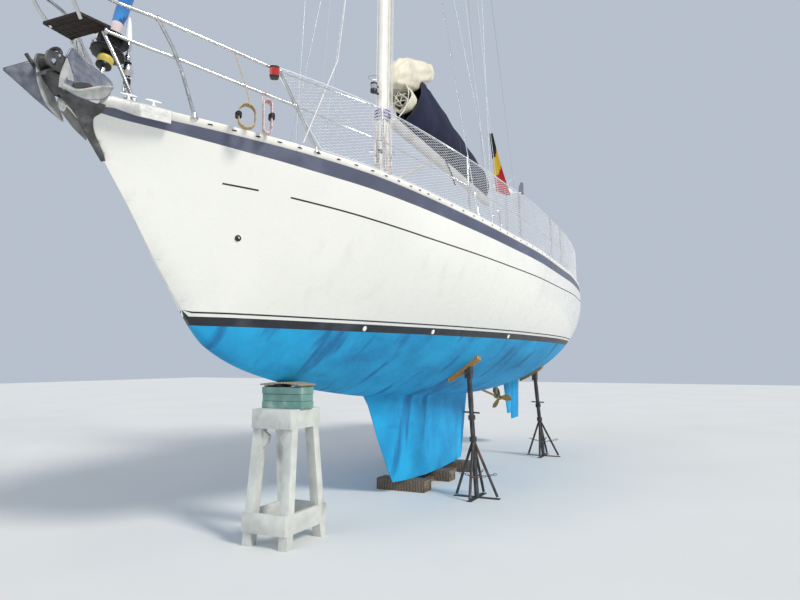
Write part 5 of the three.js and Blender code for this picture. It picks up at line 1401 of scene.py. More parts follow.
def bow_post():
    """A short pole with a tapered white top stands on the foredeck, clamped and lashed low down."""
    base = point(POST_S, 0, 0)
    build = Build()
    build.mark = 1
    build.lathe(base, UP, POST_TUBE, 24)
    for low, high, radius in POST_CLAMPS:
        middle, edge = (low + high) / 2, radius * 0.8
        build.lathe(base, UP, [
            (POST_THICK, low), (edge, low + 0.004), (radius, middle - 0.006), (radius, middle + 0.006),
            (edge, high - 0.004), (POST_THICK, high)], 24)
    build.mark = 0
    build.lathe(base, UP, POST_TOP, 24)
    build.mark = 2
    for low, count, radius in POST_BINDINGS:
        for k in range(count):
            build.tube(loop(base + UP * (low + 0.01 * k), -AFT, PORT, radius, radius), BINDING, 8)
    build.piece("bow_post", ["white", "chrome", "black"], slot="stainless", angle=40)


# Sidelights: the place of the port one, then its parts in its own axes. Outlines give ahead and across, and
# levels give a share of the outline and a height.
SIDELIGHT = (1.12, 0.905, 3.752)
LAMP_OUTLINE = [(-0.035, -0.03), (0.03, -0.038), (0.045, -0.02), (0.045, 0.02), (0.03, 0.038), (-0.035, 0.03)]
LAMP_FOOT = [(0.85, -0.043), (1.0, -0.038), (1.0, -0.03)]
LAMP_LID = [(1.0, 0.03), (1.0, 0.038), (0.85, 0.045)]
LAMP_BACK = [(-0.036, -0.031), (-0.036, 0.031), (-0.028, 0.031), (-0.028, -0.031)]
LAMP_LENS = [(0.93, -0.0298), (0.93, 0.0298)]
LAMP_PLATE = [(-0.05, -0.03), (-0.05, 0.03), (-0.037, 0.03), (-0.037, -0.03)]
LAMP_ARM = 0.008


def sidelights():
    for (side, word), lens in zip(SIDES, ("red_lens", "green_lens")):
        s, y, z = SIDELIGHT
        build = Build()
        here = point(s, side * y, z)
        fore = Vector((0.8, 0.6 * side, 0)).normalized()
        across = UP.cross(fore)

        def corner(u, v, w):
            return here + fore * u + across * v + UP * w

        def shell(outline, levels, caps=True):
            rings = [[corner(u * k, v * k, w) for u, v in outline] for k, w in levels]
            build.grid(rings, wrap=True, caps=caps)

        shell(LAMP_OUTLINE, LAMP_FOOT)
        shell(LAMP_OUTLINE, LAMP_LID)
        shell(LAMP_BACK, [(1, -0.03), (1, 0.03)])
        build.mark = 1
        shell(LAMP_OUTLINE, LAMP_LENS, caps=False)
        build.mark = 2
        shell(LAMP_PLATE, [(1, -0.045), (1, 0.045)])
        build.bar(corner(-0.05, 0, 0.02), point(s + 0.04, side * (y - 0.085), z + 0.055), LAMP_ARM, 10)
        build.bar(corner(-0.05, 0, -0.02), point(s + 0.05, side * (y - 0.07), z - 0.03), LAMP_ARM, 10)
        build.piece("sidelight_" + word, ["black", lens, "white"], slot="black_plastic", angle=35,
                    bevel=0.002)


def even(points, count):
    """A smooth line through the points, cut into even parts of its length."""
    path = smooth([Vector(p) for p in points], 8)
    lengths = [0.0]
    for a, b in zip(path, path[1:]):
        lengths.append(lengths[-1] + (b - a).length)
    result = []
    i = 0
    for reach in spread(0.0, lengths[-1], count):
        while i < len(path) - 2 and lengths[i + 1] < reach:
            i += 1
        t = (reach - lengths[i]) / max(1e-9, lengths[i + 1] - lengths[i])
        result.append(lerp(path[i], path[i + 1], min(1.0, t)))
    return result


def wing(build, ridge, edge, thick=0.009, hollow=0.012, count=30, across=12, rim=0.0065):
    """A curved blade between a ridge line and an edge line, dished by `hollow` and with a thick rim."""
    low = even([point(*p) for p in ridge], count)
    high = even([point(*p) for p in edge], count)
    rows = []
    for i, (a, b) in enumerate(zip(low, high)):
        along = (low[min(i + 1, count - 1)] - low[max(i - 1, 0)]).normalized()
        face = along.cross(b - a)
        face = face.normalized() if face.length > 1e-6 else UP
        dish = hollow * (1 - (i / (count - 1)) ** 2)
        front = [lerp(a, b, t) - face * (dish * sin(pi * t)) for t in spread(0, 1, across)]
        rows.append(front + [p - face * thick for p in reversed(front)])
    build.grid(rows, wrap=True, caps=True)
    if rim:
        build.tube([row[across - 1] for row in rows], rim, 8)
        build.tube(rows[0][:across], rim, 8)


# The port anchor: blade edges give s, y and z, flat parts s and z.
TIP_PORT = (0.208, 0.25, 3.411)
RIDGE_PORT = [(-0.16, 0.25, 3.262), (-0.042, 0.25, 3.25), (0.046, 0.25, 3.266), (0.15, 0.25, 3.32), TIP_PORT]
INNER_PORT = [
    (-0.042, 0.1, 3.554), (0.0, 0.1, 3.624), (0.067, 0.12, 3.569), (0.139, 0.16, 3.527), (0.198, 0.21, 3.472),
    TIP_PORT]
OUTER_PORT = [
    (-0.205, 0.285, 3.262), (-0.165, 0.29, 3.256), (-0.1, 0.29, 3.264), (-0.02, 0.29, 3.305),
    (0.068, 0.29, 3.352), (0.15, 0.272, 3.388), TIP_PORT]
EAR_PORT = [
    (-0.175, 3.275), (-0.168, 3.36), (-0.134, 3.465), (-0.127, 3.47), (-0.088, 3.39), (-0.078, 3.33),
    (-0.086, 3.275)]
FLUKE_LOW = [(-0.1, 0.235, 3.3), (-0.02, 0.225, 3.345), (0.03, 0.235, 3.36)]
FLUKE_HIGH = [(-0.1, 0.17, 3.385), (-0.035, 0.165, 3.4), (0.01, 0.19, 3.385)]
PIN_PORT = [(-0.12, 0.2, 3.493), (-0.062, 0.2, 3.39), (-0.045, 0.2, 3.37)]
# A dark patch in the anchor's hollow by the ridge: painted shadow.
PAINTED_SHADOW_PORT = [(-0.101, 3.322), (-0.092, 3.29), (0.0, 3.318), (0.056, 3.349), (0.016, 3.365), (-0.043, 3.348)]
SHANK_PORT = [
    (-0.06, 3.47), (-0.05, 3.545), (-0.03, 3.556), (0.02, 3.552), (0.3, 3.5), (0.3, 3.47), (0.03, 3.5)]
SHANK_THICK, EAR_THICK, PAINTED_SHADOW_THICK = 0.02, 0.012, 0.006


def anchor_port():
    """A plough lying on its side outboard of the channel, point aft, its hollow towards the rail."""
    build = Build()
    # Far wing in the dark galvanised look: painted shade.
    wing(build, RIDGE_PORT, INNER_PORT, hollow=-0.02)
    # Near wing, ear and fluke in the pale zinc look: painted light, a lit copy of the same metal.
    build.mark = 1
    wing(build, RIDGE_PORT, OUTER_PORT, hollow=0.012, thick=0.014, rim=0.008)
    build.slab([point(s, 0.214, z) for s, z in smooth_pairs(EAR_PORT, 3)], PORT * EAR_THICK)
    wing(build, FLUKE_LOW, FLUKE_HIGH, hollow=0.01, count=12, rim=0)
    build.mark = 2
    build.tube([point(*row) for row in PIN_PORT], 0.0075, 8)
    # A thin dark slab in the hollow above the ridge: painted shadow.
    build.slab([point(s, 0.246, z) for s, z in PAINTED_SHADOW_PORT], PORT * PAINTED_SHADOW_THICK)
    build.mark = 0
    build.slab([point(s, 0.102, z) for s, z in SHANK_PORT], PORT * SHANK_THICK)
    build.piece("anchor_port_forged", ["galvanised", "zinc", "prop"], slot="galvanised", angle=40,
                stands_for="anchor_port")


TIP_STARBOARD = (0.14, -0.15, 3.215)
RIDGE_STARBOARD = [(-0.05, -0.15, 3.575), (0.0, -0.15, 3.47), (0.06, -0.15, 3.36), TIP_STARBOARD]
OUTER_STARBOARD = [(-0.21, -0.28, 3.467), (-0.125, -0.252, 3.408), (-0.02, -0.212, 3.328), TIP_STARBOARD]
INNER_STARBOARD = [
    (-0.15, -0.042, 3.505), (-0.138, -0.045, 3.44), (-0.112, -0.062, 3.375), (-0.02, -0.1, 3.275),
    TIP_STARBOARD]
BOSS_STARBOARD = [(0.0, 0), (0.024, 0.001), (0.026, 0.008), (0.026, 0.062), (0.024, 0.069), (0.0, 0.07)]
SHANK_STARBOARD = [
    (-0.072, 3.556), (-0.072, 3.59), (-0.055, 3.606), (0.06, 3.592), (0.3, 3.53), (0.3, 3.5), (0.02, 3.55),
    (-0.02, 3.53)]


def anchor_starboard():
    """A plough hung point down beside the stem, its hollow facing forward."""
    build = Build()
    # Far wing in the dark galvanised look: painted shade.
    wing(build, RIDGE_STARBOARD, OUTER_STARBOARD, hollow=0.02)
    # Near wing in the pale zinc look: painted light, a lit copy of the same metal.
    build.mark = 1
    wing(build, RIDGE_STARBOARD, INNER_STARBOARD, hollow=-0.012, thick=0.012, rim=0.008)
    build.mark = 2
    build.tube([point(-0.21, -0.28, 3.47), point(-0.05, -0.15, 3.58)], 0.009, 8)
    build.bar(point(-0.185, -0.1, 3.55), point(-0.135, -0.07, 3.465), 0.012, 8)
    build.lathe(point(-0.055, -0.185, 3.555), PORT, BOSS_STARBOARD, 18)
    build.mark = 0
    build.slab([point(s, -0.16, z) for s, z in SHANK_STARBOARD], PORT * SHANK_THICK)
    build.piece("anchor_starboard_forged", ["galvanised", "zinc", "prop"], slot="galvanised", angle=40,
                stands_for="anchor_starboard")


SEAT_CORNERS = [(-0.035, -0.165, 3.835), (-0.01, 0.15, 3.85), (0.235, 0.175, 3.852), (0.2, -0.18, 3.83)]
SEAT_PLANKS, SEAT_GAP, SEAT_THICK = 4, 0.016, 0.02
SEAT_SCREWS, SCREW_Z = [(0.0, -0.12), (0.0, 0.12), (0.2, -0.13), (0.21, 0.13)], 3.868
SCREW = [(0.008, 0), (0.008, 0.003), (0.005, 0.006), (0.0, 0.006)]


def seat_plank():
    build = Build()
    a, b, c, d = [point(*p) for p in SEAT_CORNERS]
    for k in range(SEAT_PLANKS):
        low, high = k / SEAT_PLANKS + SEAT_GAP / 2, (k + 1) / SEAT_PLANKS - SEAT_GAP / 2
        build.slab([lerp(a, d, low), lerp(b, c, low), lerp(b, c, high), lerp(a, d, high)], UP * SEAT_THICK)
    build.mark = 1
    for s, y in SEAT_SCREWS:
        build.lathe(point(s, y, SCREW_Z), UP, SCREW, 10)
    build.piece("seat_plank", ["seat_wood", "steel"], slot="plank_wood", angle=35, bevel=0.003,
                stands_for="pulpit_seat")


# Mast furniture: steaming light, lashing, halyards and rope tails
MAST_S, MAST_FOOT, MAST_HALF_LONG, MAST_HALF_WIDE = 4.7, 3.62, 0.112, 0.078
# Steaming light: turned parts, then its arms as height at the lamp, height at the mast, and radius
LAMP_PLACE = (4.47, 0, 5.05)
STEAM_FOOT = [(0.0, -0.05), (0.035, -0.05), (0.045, -0.042), (0.047, -0.01), (0.045, 0.0)]
STEAM_TOP = [(0.045, 0.06), (0.047, 0.068), (0.04, 0.085), (0.0, 0.095)]
STEAM_LENS = [(0.042, 0.0), (0.042, 0.06)]
STEAM_ARMS = [(-0.03, -0.02, 0.018), (0.07, 0.07, 0.014)]
LASHINGS, LASHING_Z, LASHING_STEP = 6, 4.71, 0.021
LASHING_KNOT = [(0.0, 0), (0.02, 0.004), (0.028, 0.02), (0.02, 0.036), (0.0, 0.04)]
# Tails: place ahead of and beside the mast's middle, top, and colour
TAILS = [
    (0.125, 0.03, 4.68, 0), (0.13, -0.02, 4.66, 1), (0.118, 0.055, 4.6, 1), (0.05, 0.1, 4.64, 0),
    (-0.03, 0.1, 4.66, 0), (0.09, 0.085, 4.5, 1)]
TAIL_FOOT, TAIL_THICK = 3.75, 0.008
# Halyards: place ahead and beside at the foot, and ahead at the head
HALYARDS = [
    (-0.04, 0.1, -0.04), (-0.03, -0.1, -0.03), (-0.075, 0.1, -0.07), (0.118, -0.045, 0.1),
    (0.02, 0.085, 0.02)]
HALYARD_FOOT, HALYARD_HEAD, HALYARD_THICK = 3.72, 18.9, 0.005
MAST_WINCH = [
    (0.055, 0), (0.055, 0.012), (0.042, 0.02), (0.036, 0.05), (0.04, 0.075), (0.05, 0.08), (0.05, 0.09),
    (0.03, 0.1), (0.0, 0.1)]


def mast_middle(z):
    return point(MAST_S + (z - MAST_FOOT) * tan(MAST_RAKE), 0, z)


def mast_wrap(z, grow, tilt):
    """A turn round the mast's oval section, tilted a little."""
    return [
        mast_middle(z) + Vector((
            (MAST_HALF_LONG + grow) * cos(a), (MAST_HALF_WIDE + grow) * sin(a), tilt * sin(a + 0.8)))
        for a in spread(0, TAU, 33)]


def steaming_light():
    lamp = Build()
    place = point(*LAMP_PLACE)
    lamp.lathe(place, UP, STEAM_FOOT, 24)
    lamp.lathe(place, UP, STEAM_TOP, 24)
    for at_lamp, at_mast, radius in STEAM_ARMS:
        lamp.bar(place + Vector((-0.03, 0, at_lamp)), place + Vector((-0.115, 0, at_mast)), radius, 12)
    lamp.mark = 1
    lamp.lathe(place, UP, STEAM_LENS, 24)
    lamp.mark = 2
    ends = [place + Vector((-0.1, 0, 0.16))]
    hoop = [place + Vector((0.005 + 0.07 * cos(a), 0.07 * sin(a), 0.15)) for a in spread(-2.4, 2.4, 17)]
    lamp.tube(ends + hoop + ends, 0.006, 8)
    lamp.piece("steaming_light", ["black", "lens", "steel"], slot="black_plastic", angle=40)


def mast_fittings():
    steaming_light()
    ties = Build()
    for k in range(LASHINGS):
        ties.mark = 0 if k % 2 else 1
        ties.tube(mast_wrap(LASHING_Z + LASHING_STEP * k, 0.012 + 0.004 * (k % 2), 0.012), 0.011, 8)
    ties.mark = 0
    knot = mast_middle(LASHING_Z + 0.05) + Vector((0.05, 0.1, -0.03))
    ties.lathe(knot, Vector((0, 0.6, 0.2)).normalized(), LASHING_KNOT, 12)
    ties.piece("mast_lashing", ["rope_blue", "rope"], slot="white_plastic", angle=70)
    falls = Build()
    for k, (x, y, top, falls.mark) in enumerate(TAILS):
        path = []
        for t in spread(0, 1, 12):
            wander = Vector((x + 0.012 * sin(7 * t + 2 * k), y + 0.01 * cos(5 * t + k), 0))
            path.append(mast_middle(lerp(top, TAIL_FOOT, t)) + wander)
        falls.tube(smooth(path, 3), TAIL_THICK, 8)
    falls.piece("mast_rope_tails", ["rope", "rope_pink"], slot="white_plastic", angle=70)
    runs = Build()
    for x, y, top_x in HALYARDS:
        foot = mast_middle(HALYARD_FOOT) + Vector((x, y, 0))
        runs.bar(foot, mast_middle(HALYARD_HEAD) + Vector((top_x * 0.8, y * 0.7, 0)), HALYARD_THICK, 8)
    runs.piece("halyards", ["rope"], slot="white_plastic", angle=70)
    winches = Build()
    for side, z in ((1, 4.25), (-1, 4.3)):
        winches.lathe(mast_middle(z) + PORT * (side * 0.074), PORT * side, MAST_WINCH, 28)
    winches.piece("mast_winches", ["chrome"], slot="stainless", angle=35)


chock_plates()
bow_channel()
stem_guard()
bow_post()
sidelights()
anchor_port()
anchor_starboard()
seat_plank()
mast_fittings()

# The bow block: green-painted timbers under a thin pale cap that is sprung over them
BLOCK_FORE, BLOCK_AFT, BLOCK_STARBOARD, BLOCK_PORT = 2.44, 2.65, -0.15, 0.31
BLOCK_FOOT = 1.1105
COURSES, COURSE_STEP, COURSE_HIGH, COURSE_INSET = 3, 0.068, 0.066, 0.004
CAP_OVER, CAP_THICK, CAP_Z, CAP_CROWN, CAP_CLEAR = 0.015, 0.016, 1.345, 0.018, 0.004
BATTEN_LOW, BATTEN_HIGH, BATTEN_HALF = 1.314, 1.328, 0.02
SEARCH_STEP, SEARCH_CLEAR, SEARCH_TOP = 0.002, 0.003, 1.6


def hull_over(s, y):
    """Height of the hull's skin over a place under it."""
    low = bottom(s)
    while half_breadth(s, low) < abs(y) + SEARCH_CLEAR and low < SEARCH_TOP:
        low += SEARCH_STEP
    return low


def bow_block():
    build = Build()
    for k in range(COURSES):
        low = BLOCK_FOOT + COURSE_STEP * k + 0.001
        inset = COURSE_INSET * (k % 2)
        build.block(
            point(BLOCK_FORE + inset, BLOCK_STARBOARD + inset, low),
            point(BLOCK_AFT - inset, BLOCK_PORT - inset, low + COURSE_HIGH))
    build.mark = 1
    rows = []
    for y in spread(BLOCK_STARBOARD - CAP_OVER, BLOCK_PORT + CAP_OVER, 25):
        crown = CAP_Z + CAP_CROWN * sin(pi * share(y, BLOCK_STARBOARD, BLOCK_PORT))
        fore, aft = BLOCK_FORE - CAP_OVER, BLOCK_AFT + CAP_OVER
        edges = [point(s, y, min(crown, hull_over(s, y) - CAP_CLEAR)) for s in (fore, aft)]
        rows.append(edges + [p - UP * CAP_THICK for p in reversed(edges)])
    build.grid(rows, wrap=True, caps=True)
    for y in (BLOCK_STARBOARD + 0.03, BLOCK_PORT - 0.03):
        build.block(
            point(BLOCK_FORE + 0.02, y - BATTEN_HALF, BATTEN_LOW),
            point(BLOCK_AFT - 0.02, y + BATTEN_HALF, BATTEN_HIGH))
    # The small dark box at the cap's fore edge stands for a notch: painted shade in the recess.
    build.mark = 2
    build.block(point(BLOCK_FORE - 0.006, 0.01, 1.322), point(BLOCK_FORE + 0.05, 0.075, 1.338))
    build.piece("bow_block_timbers", ["green", "pale_wood", "slot"], slot="block_timber", angle=35,
                bevel=0.004, stands_for="bow_block")


# Props: tan pads, a thin threaded upper post with a nut, and chains between the feet
# Columns: s, y and z of the pad, s and y of the foot, side
PROPS = [
    (5.3, 0.9, 1.47, 5.28, 1.06, 1), (7.6, 0.9, 1.328, 7.58, 1.06, -1), (9.0, 0.83, 1.348, 9.33, 0.94, 1),
    (9.0, 0.83, 1.348, 9.33, 0.94, -1)]
PROP_NODES = ("prop_fore_port", "prop_fore_starboard", "prop_aft_port", "prop_aft_starboard")
PROP_FOOT_Z, COLLARS, NUT_AT = -0.144, (0.45, 0.62), 0.66
COLLAR = [(0.032, -0.03), (0.046, -0.028), (0.046, 0.028), (0.032, 0.03)]
NUT_ARMS, NUT_ARM_LONG, NUT_ARM_THICK, NUT_TURN = 2, 0.13, 0.011, 1.2
THREADS, THREAD_FROM, THREAD_PITCH = 8, 0.7, 0.03
THREAD = [(0.032, 0), (0.037, 0.006), (0.037, 0.012), (0.032, 0.018)]
CHAIN_RUNS, CHAIN_LINKS, CHAIN_Z, CHAIN_SAG = ((0.26, 0.0), (0.0, 0.26)), 14, 0.16, 0.05
LINK_LONG, LINK_WIDE, LINK_THICK = 0.024, 0.011, 0.0035


def prop_head(s, y, z, side):
    """Where the post's axis meets the middle of its pad."""
    return point(s, side * (y + 0.06), z - 0.02)


def prop_fittings():
    build = Build()
    for s, y, z, foot_s, foot_y, side in PROPS:
        head = prop_head(s, y, z, side)
        foot = point(foot_s, side * foot_y, PROP_FOOT_Z)
        way = unit(foot, head)
        long = (head - foot).length
        build.mark = 0
        for at in COLLARS:
            build.lathe(foot + way * (long * at), way, COLLAR, 20)
        nut = foot + way * (long * NUT_AT)
        for k in range(NUT_ARMS):
            a = NUT_TURN + pi * k
            build.bar(nut, nut + Vector((cos(a), sin(a), 0)) * NUT_ARM_LONG, NUT_ARM_THICK, 10)
        for k in range(THREADS):
            build.lathe(foot + way * (long * THREAD_FROM + THREAD_PITCH * k), way, THREAD, 16)
        build.mark = 1
        for ds, dy in CHAIN_RUNS:
            for k in range(CHAIN_LINKS):
                t = (k + 0.5) / CHAIN_LINKS
                z = CHAIN_Z - CHAIN_SAG * sin(pi * t)
                here = point(foot_s + lerp(-ds, ds, t), side * (foot_y + lerp(-dy, dy, t)), z)
                along = -AFT if ds else PORT
                up = UP if k % 2 else along.cross(UP)
                build.tube(loop(here, along, up, LINK_LONG, LINK_WIDE, 13), LINK_THICK, 6)
    build.piece("prop_fittings", ["prop", "rust"], slot="prop_steel", angle=40)


# Rigging: turnbuckles, chainplates, running lines
# Columns: first part of the node's name, and 1 where its head is aft of its foot or -1 where it is ahead
SHROUDS = [("cap_shroud_lower", 1), ("fore_lower_shroud", 1), ("aft_lower_shroud", -1)]
WIRE_RADIUS = 0.003


def shroud_line(node, lean, side):
    """Foot and head of a shroud, from the corners of its box."""
    low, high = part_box(node)
    ends = (high.x - WIRE_RADIUS, low.x + WIRE_RADIUS)
    foot_x, head_x = ends if lean > 0 else reversed(ends)
    outer, inner = (high.y, low.y) if side > 0 else (low.y, high.y)
    foot = Vector((foot_x, outer - side * WIRE_RADIUS, low.z))
    return foot, Vector((head_x, inner + side * WIRE_RADIUS, high.z))


TURNBUCKLE = [
    (0.0, 0.01), (0.011, 0.012), (0.011, 0.055), (0.006, 0.06), (0.006, 0.1), (0.012, 0.105), (0.014, 0.12),
    (0.014, 0.27), (0.012, 0.285), (0.006, 0.29), (0.006, 0.34), (0.009, 0.345), (0.009, 0.46), (0.005, 0.48),
    (0.0, 0.48)]
CLEVIS_HALF, CLEVIS_UP, CLEVIS_THICK = 0.012, 0.018, 0.007


def turnbuckles():
    """On each shroud's foot, with its clevis pin, its upright chainplate and the plate on the deck."""
    build = Build()
    for kind, lean in SHROUDS:
        for side, word in SIDES:
            foot, head = shroud_line(kind + "_" + word, lean, side)
            build.lathe(foot, unit(foot, head), TURNBUCKLE, 14)
            x, y, z = foot
            deck = deck_z(BOW - x, y) + LIFT
            build.block((x - 0.02, y - 0.004, deck - 0.01), (x + 0.02, y + 0.004, z + 0.03))
            build.block((x - 0.04, y - 0.03, deck - 0.004), (x + 0.04, y + 0.03, deck + 0.006))
            pin = foot + UP * CLEVIS_UP
            build.bar(pin - PORT * CLEVIS_HALF, pin + PORT * CLEVIS_HALF, CLEVIS_THICK, 10)
    build.piece("turnbuckles", ["chrome"], slot="stainless", angle=35)


POLE_HEAD, POLE_FOOT, POLE_MAST = (1.896, 1.0, 4.16), (1.382, 1.0, 3.27), (4.62, 0.09, 10.8)
SIGNAL_HALF, SIGNAL_SPREAD = 0.6, 2.3


def running_lines():
    lift = Build()
    boom_end, head = boom_point(4.16, 0, 0.03), mast_middle(18.85) - Vector((0.12, 0, 0))
    lift.bar(boom_end, head, 0.0045, 8)
    piece = lift.piece("topping_lift", ["wire"], None, slot="stainless", angle=60)
    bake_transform(piece)
    lines = Build()
    lines.bar(point(*POLE_HEAD), point(*POLE_FOOT), 0.005, 8)
    lines.bar(point(*POLE_HEAD), point(*POLE_MAST), 0.004, 8)
    for y in (-SIGNAL_HALF, SIGNAL_HALF):
        lines.bar(point(4.9, y, 10.85), point(5.12, SIGNAL_SPREAD * y, 3.06), 0.0028, 6)
    lines.piece("signal_and_pole_lines", ["rope"], slot="white_plastic", angle=60)


# Ropes hung on the pulpit and the mast. Each is one length that starts at its support and is wound in upright
# oval turns, side by side and held by a tie.
ROPE_THICK = 0.009
COIL_STEP = 1.25
LEAD_DOWN, LEAD_ACROSS, LEAD_POINTS, TURN_POINTS = 0.03, 0.045, 16, 24
TIE_AT, TIE_WIDE, TIE_OVER, TIE_STEP, TIE_THICK = 0.95, 0.02, 0.012, 0.012, 0.005


def hung_rope(name, look_name, start, top, turns, wide, high, plane):
    across = Vector(plane).normalized()
    out = across.cross(UP)
    pitch = ROPE_THICK * COIL_STEP
    first = top - out * (pitch * turns / 2)
    lead = (start, start - UP * LEAD_DOWN, first - across * LEAD_ACROSS, first)
    path = []
    for t in spread(0, 1, LEAD_POINTS)[:-1]:
        parts = ((1 - t) ** 3, 3 * t * (1 - t) ** 2, 3 * t * t * (1 - t), t ** 3)
        path.append(sum((p * part for p, part in zip(lead, parts)), Vector((0, 0, 0))))
    turn = []
    for a in spread(0, TAU, TURN_POINTS + 1)[:-1]:
        drop = wide * (1 - cos(a)) + (2 * (high - wide) if cos(a) < -0.01 else 0)
        turn.append(across * (wide * sin(a)) - UP * drop)
    for k in range(turns * TURN_POINTS + 1):
        path.append(first + turn[k % TURN_POINTS] + out * (pitch * k / TURN_POINTS))
    build = Build()
    build.tube(path, ROPE_THICK / 2, 8, side=out)
    rope = build.piece(name, [look_name], slot="white_plastic", angle=70)
    tie = Build()
    middle = top - UP * (high * TIE_AT) + across * wide
    for step in (-TIE_STEP, 0.0, TIE_STEP):
        tie.tube(loop(middle + UP * step, across, out, TIE_WIDE, pitch * turns / 2 + TIE_OVER), TIE_THICK, 8)
    band = tie.piece(name + "_tie", ["strap"], slot="black_plastic", angle=70)


# Columns: name, look, start, top of the turns, number, half width, half height, direction of the width
PULPIT_ROPES = [
    ("rope_coil", "rope_tan", (0.905, 0.7, 3.865), (0.95, 0.79, 3.46), 6, 0.062, 0.09, (0.7, -0.7, 0)),
    ("rope_hank", "rope_pink", (1.13, 0.79, 3.605), (1.13, 0.84, 3.545), 7, 0.032, 0.128, (-0.7, 0.7, 0)),
]
# The same, with start and top given as height, ahead of and beside the mast's middle
MAST_ROPES = [
    ("mast_coil_fore", "rope", (4.5, 0.135, -0.02), (4.4, 0.165, 0.02), 5, 0.034, 0.16, (0, 1, 0)),
    ("mast_coil_port", "rope_pink", (4.18, 0.05, 0.1), (4.08, 0.07, 0.135), 5, 0.034, 0.15, (1, 0, 0)),
]


def at_mast(z, x, y):
    return mast_middle(z) + Vector((x, y, 0))


def hung_ropes():
    for name, look_name, start, top, *rest in PULPIT_ROPES:
        hung_rope(name, look_name, point(*start), point(*top), *rest)
    for name, look_name, start, top, *rest in MAST_ROPES:
        hung_rope(name, look_name, at_mast(*start), at_mast(*top), *rest)


# Deck gear, set down on the CAD surfaces by looking straight down or inboard at them
def surface(node):
    """A search tree of a CAD node's faces."""
    work = bmesh.new()
    work.from_mesh(NODES[node].data)
    tree = BVHTree.FromBMesh(work)
    work.free()
    return tree


HANDRAIL_Y, HANDRAIL_HIGH, HANDRAIL_THICK = 0.62, 0.055, 0.013
HANDRAIL_ENDS, HANDRAIL_FEET = (4.9, 7.7), (4.95, 7.65)
HANDRAIL_FOOT = [(0.03, 0), (0.028, 0.01), (0.014, 0.022), (0.012, 0.055)]
WINDOWS = [(4.55, 5.45), (5.7, 6.6), (6.85, 7.75)]
FRAME_SIDES, FRAME_THICK, FRAME_OVER_LONG, FRAME_OVER_HIGH = 48, 0.009, 0.012, 0.01
FRAME_SQUARE_LONG, FRAME_SQUARE_HIGH = 0.25, 0.35
HATCH_CORNER, HATCH_INSET, HINGE_IN, HINGE_Y = 0.06, 0.02, 0.09, 0.12
HINGE = [(0.02, 0), (0.02, 0.008), (0.012, 0.014), (0.0, 0.014)]
BOARDS, BOARDS_LOW, BOARDS_HIGH, BOARD_HALF, BOARD_FORE, BOARD_AFT = 3, 3.085, 3.44, 0.31, 8.725, 8.745
BOARD_GAP = 0.004
SIDE_CLEATS, STANCHIONS = (6.35, 11.45), (2.3, 3.7, 5.1, 6.6, 7.3, 8.7, 10.2)
SIDE_CLEAT = [(0.026, 0), (0.024, 0.006), (0.012, 0.016), (0.011, 0.042), (0.013, 0.05)]
STANCHION_BASE = [(0.034, 0), (0.034, 0.007), (0.02, 0.012), (0.019, 0.06), (0.0135, 0.064)]
VENT_S, VENT_Y = 4.2, 0.33
VENT_BASE = [(0.07, 0), (0.07, 0.02), (0.055, 0.03), (0.052, 0.1)]
VENT_BEND = [(0, 0, 0.09), (0, 0, 0.15), (0.03, 0, 0.2), (0.09, 0, 0.215)]
ROOF = surface("coachroof")
OVER_ALL, OUTSIDE = 5.0, 2.5


def roof_point(s, y):
    """The coachroof's surface under a place, or the deck's where there is no roof."""
    hit = ROOF.ray_cast(point(s, y, OVER_ALL), -UP)[0]
    return hit if hit is not None else point(s, y, deck_z(s, y))


def cabin_side(s, z, side):
    hit = ROOF.ray_cast(point(s, side * OUTSIDE, z), PORT * -side)[0]
    return hit if hit is not None else point(s, side * 0.9, z)


def handrails():
    rails = Build()
    for side, word in SIDES:
        path = [roof_point(s, side * HANDRAIL_Y) + UP * HANDRAIL_HIGH for s in spread(*HANDRAIL_ENDS, 25)]
        rails.tube(path, HANDRAIL_THICK, 12)
        for s in spread(*HANDRAIL_FEET, 6):
            rails.lathe(roof_point(s, side * HANDRAIL_Y) - UP * 0.004, UP, HANDRAIL_FOOT, 14)
    rails.piece("roof_handrails", ["teak"], slot="plank_wood", angle=50)


def window_frames():
    frames = Build()
    for side, word in SIDES:
        places = [(BOW - v.co.x, v.co.z - LIFT) for v in NODES["window_" + word].data.vertices]
        for fore, aft in WINDOWS:
            heights = [z for s, z in places if fore - 0.05 < s < aft + 0.05]
            low, high = min(heights), max(heights)
            rim = []
            for k in range(FRAME_SIDES):
                a = TAU * k / FRAME_SIDES
                u = copysign(abs(cos(a)) ** FRAME_SQUARE_LONG, cos(a))
                w = copysign(abs(sin(a)) ** FRAME_SQUARE_HIGH, sin(a))
                s = (fore + aft) / 2 + u * ((aft - fore) / 2 + FRAME_OVER_LONG)
                z = (low + high) / 2 + w * ((high - low) / 2 + FRAME_OVER_HIGH)
                rim.append(cabin_side(s, z, side) + PORT * (side * 0.002))
            frames.tube(rim + rim[:1], FRAME_THICK, 8, side=PORT * side)
    frames.piece("window_frames", ["chrome"], slot="stainless", angle=50)


def hatch_frame(node):
    """A rounded frame and two hinges that lift with the hatch."""
    low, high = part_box(node)
    inset = Vector((HATCH_INSET, HATCH_INSET, 0))
    low, high = low + inset, high - inset
    build = Build()
    ring = []
    r = HATCH_CORNER
    for k, (x, y) in enumerate([(high.x - r, high.y - r), (low.x + r, high.y - r), (low.x + r, low.y + r),
                                (high.x - r, low.y + r)]):
        for a in spread(90 * k, 90 * (k + 1), 7):
            ring.append(Vector((x + r * cos(radians(a)), y + r * sin(radians(a)), high.z + 0.001)))
    build.tube(ring + ring[:1], FRAME_THICK, 8, side=UP)
    build.mark = 1
    for y in (-HINGE_Y, HINGE_Y):
        build.lathe(Vector((low.x + HINGE_IN, (low.y + high.y) / 2 + y, high.z)), UP, HINGE, 14)
    build.piece(node + "_frame", ["grey_spar", "black"], node, slot="stainless", angle=50)


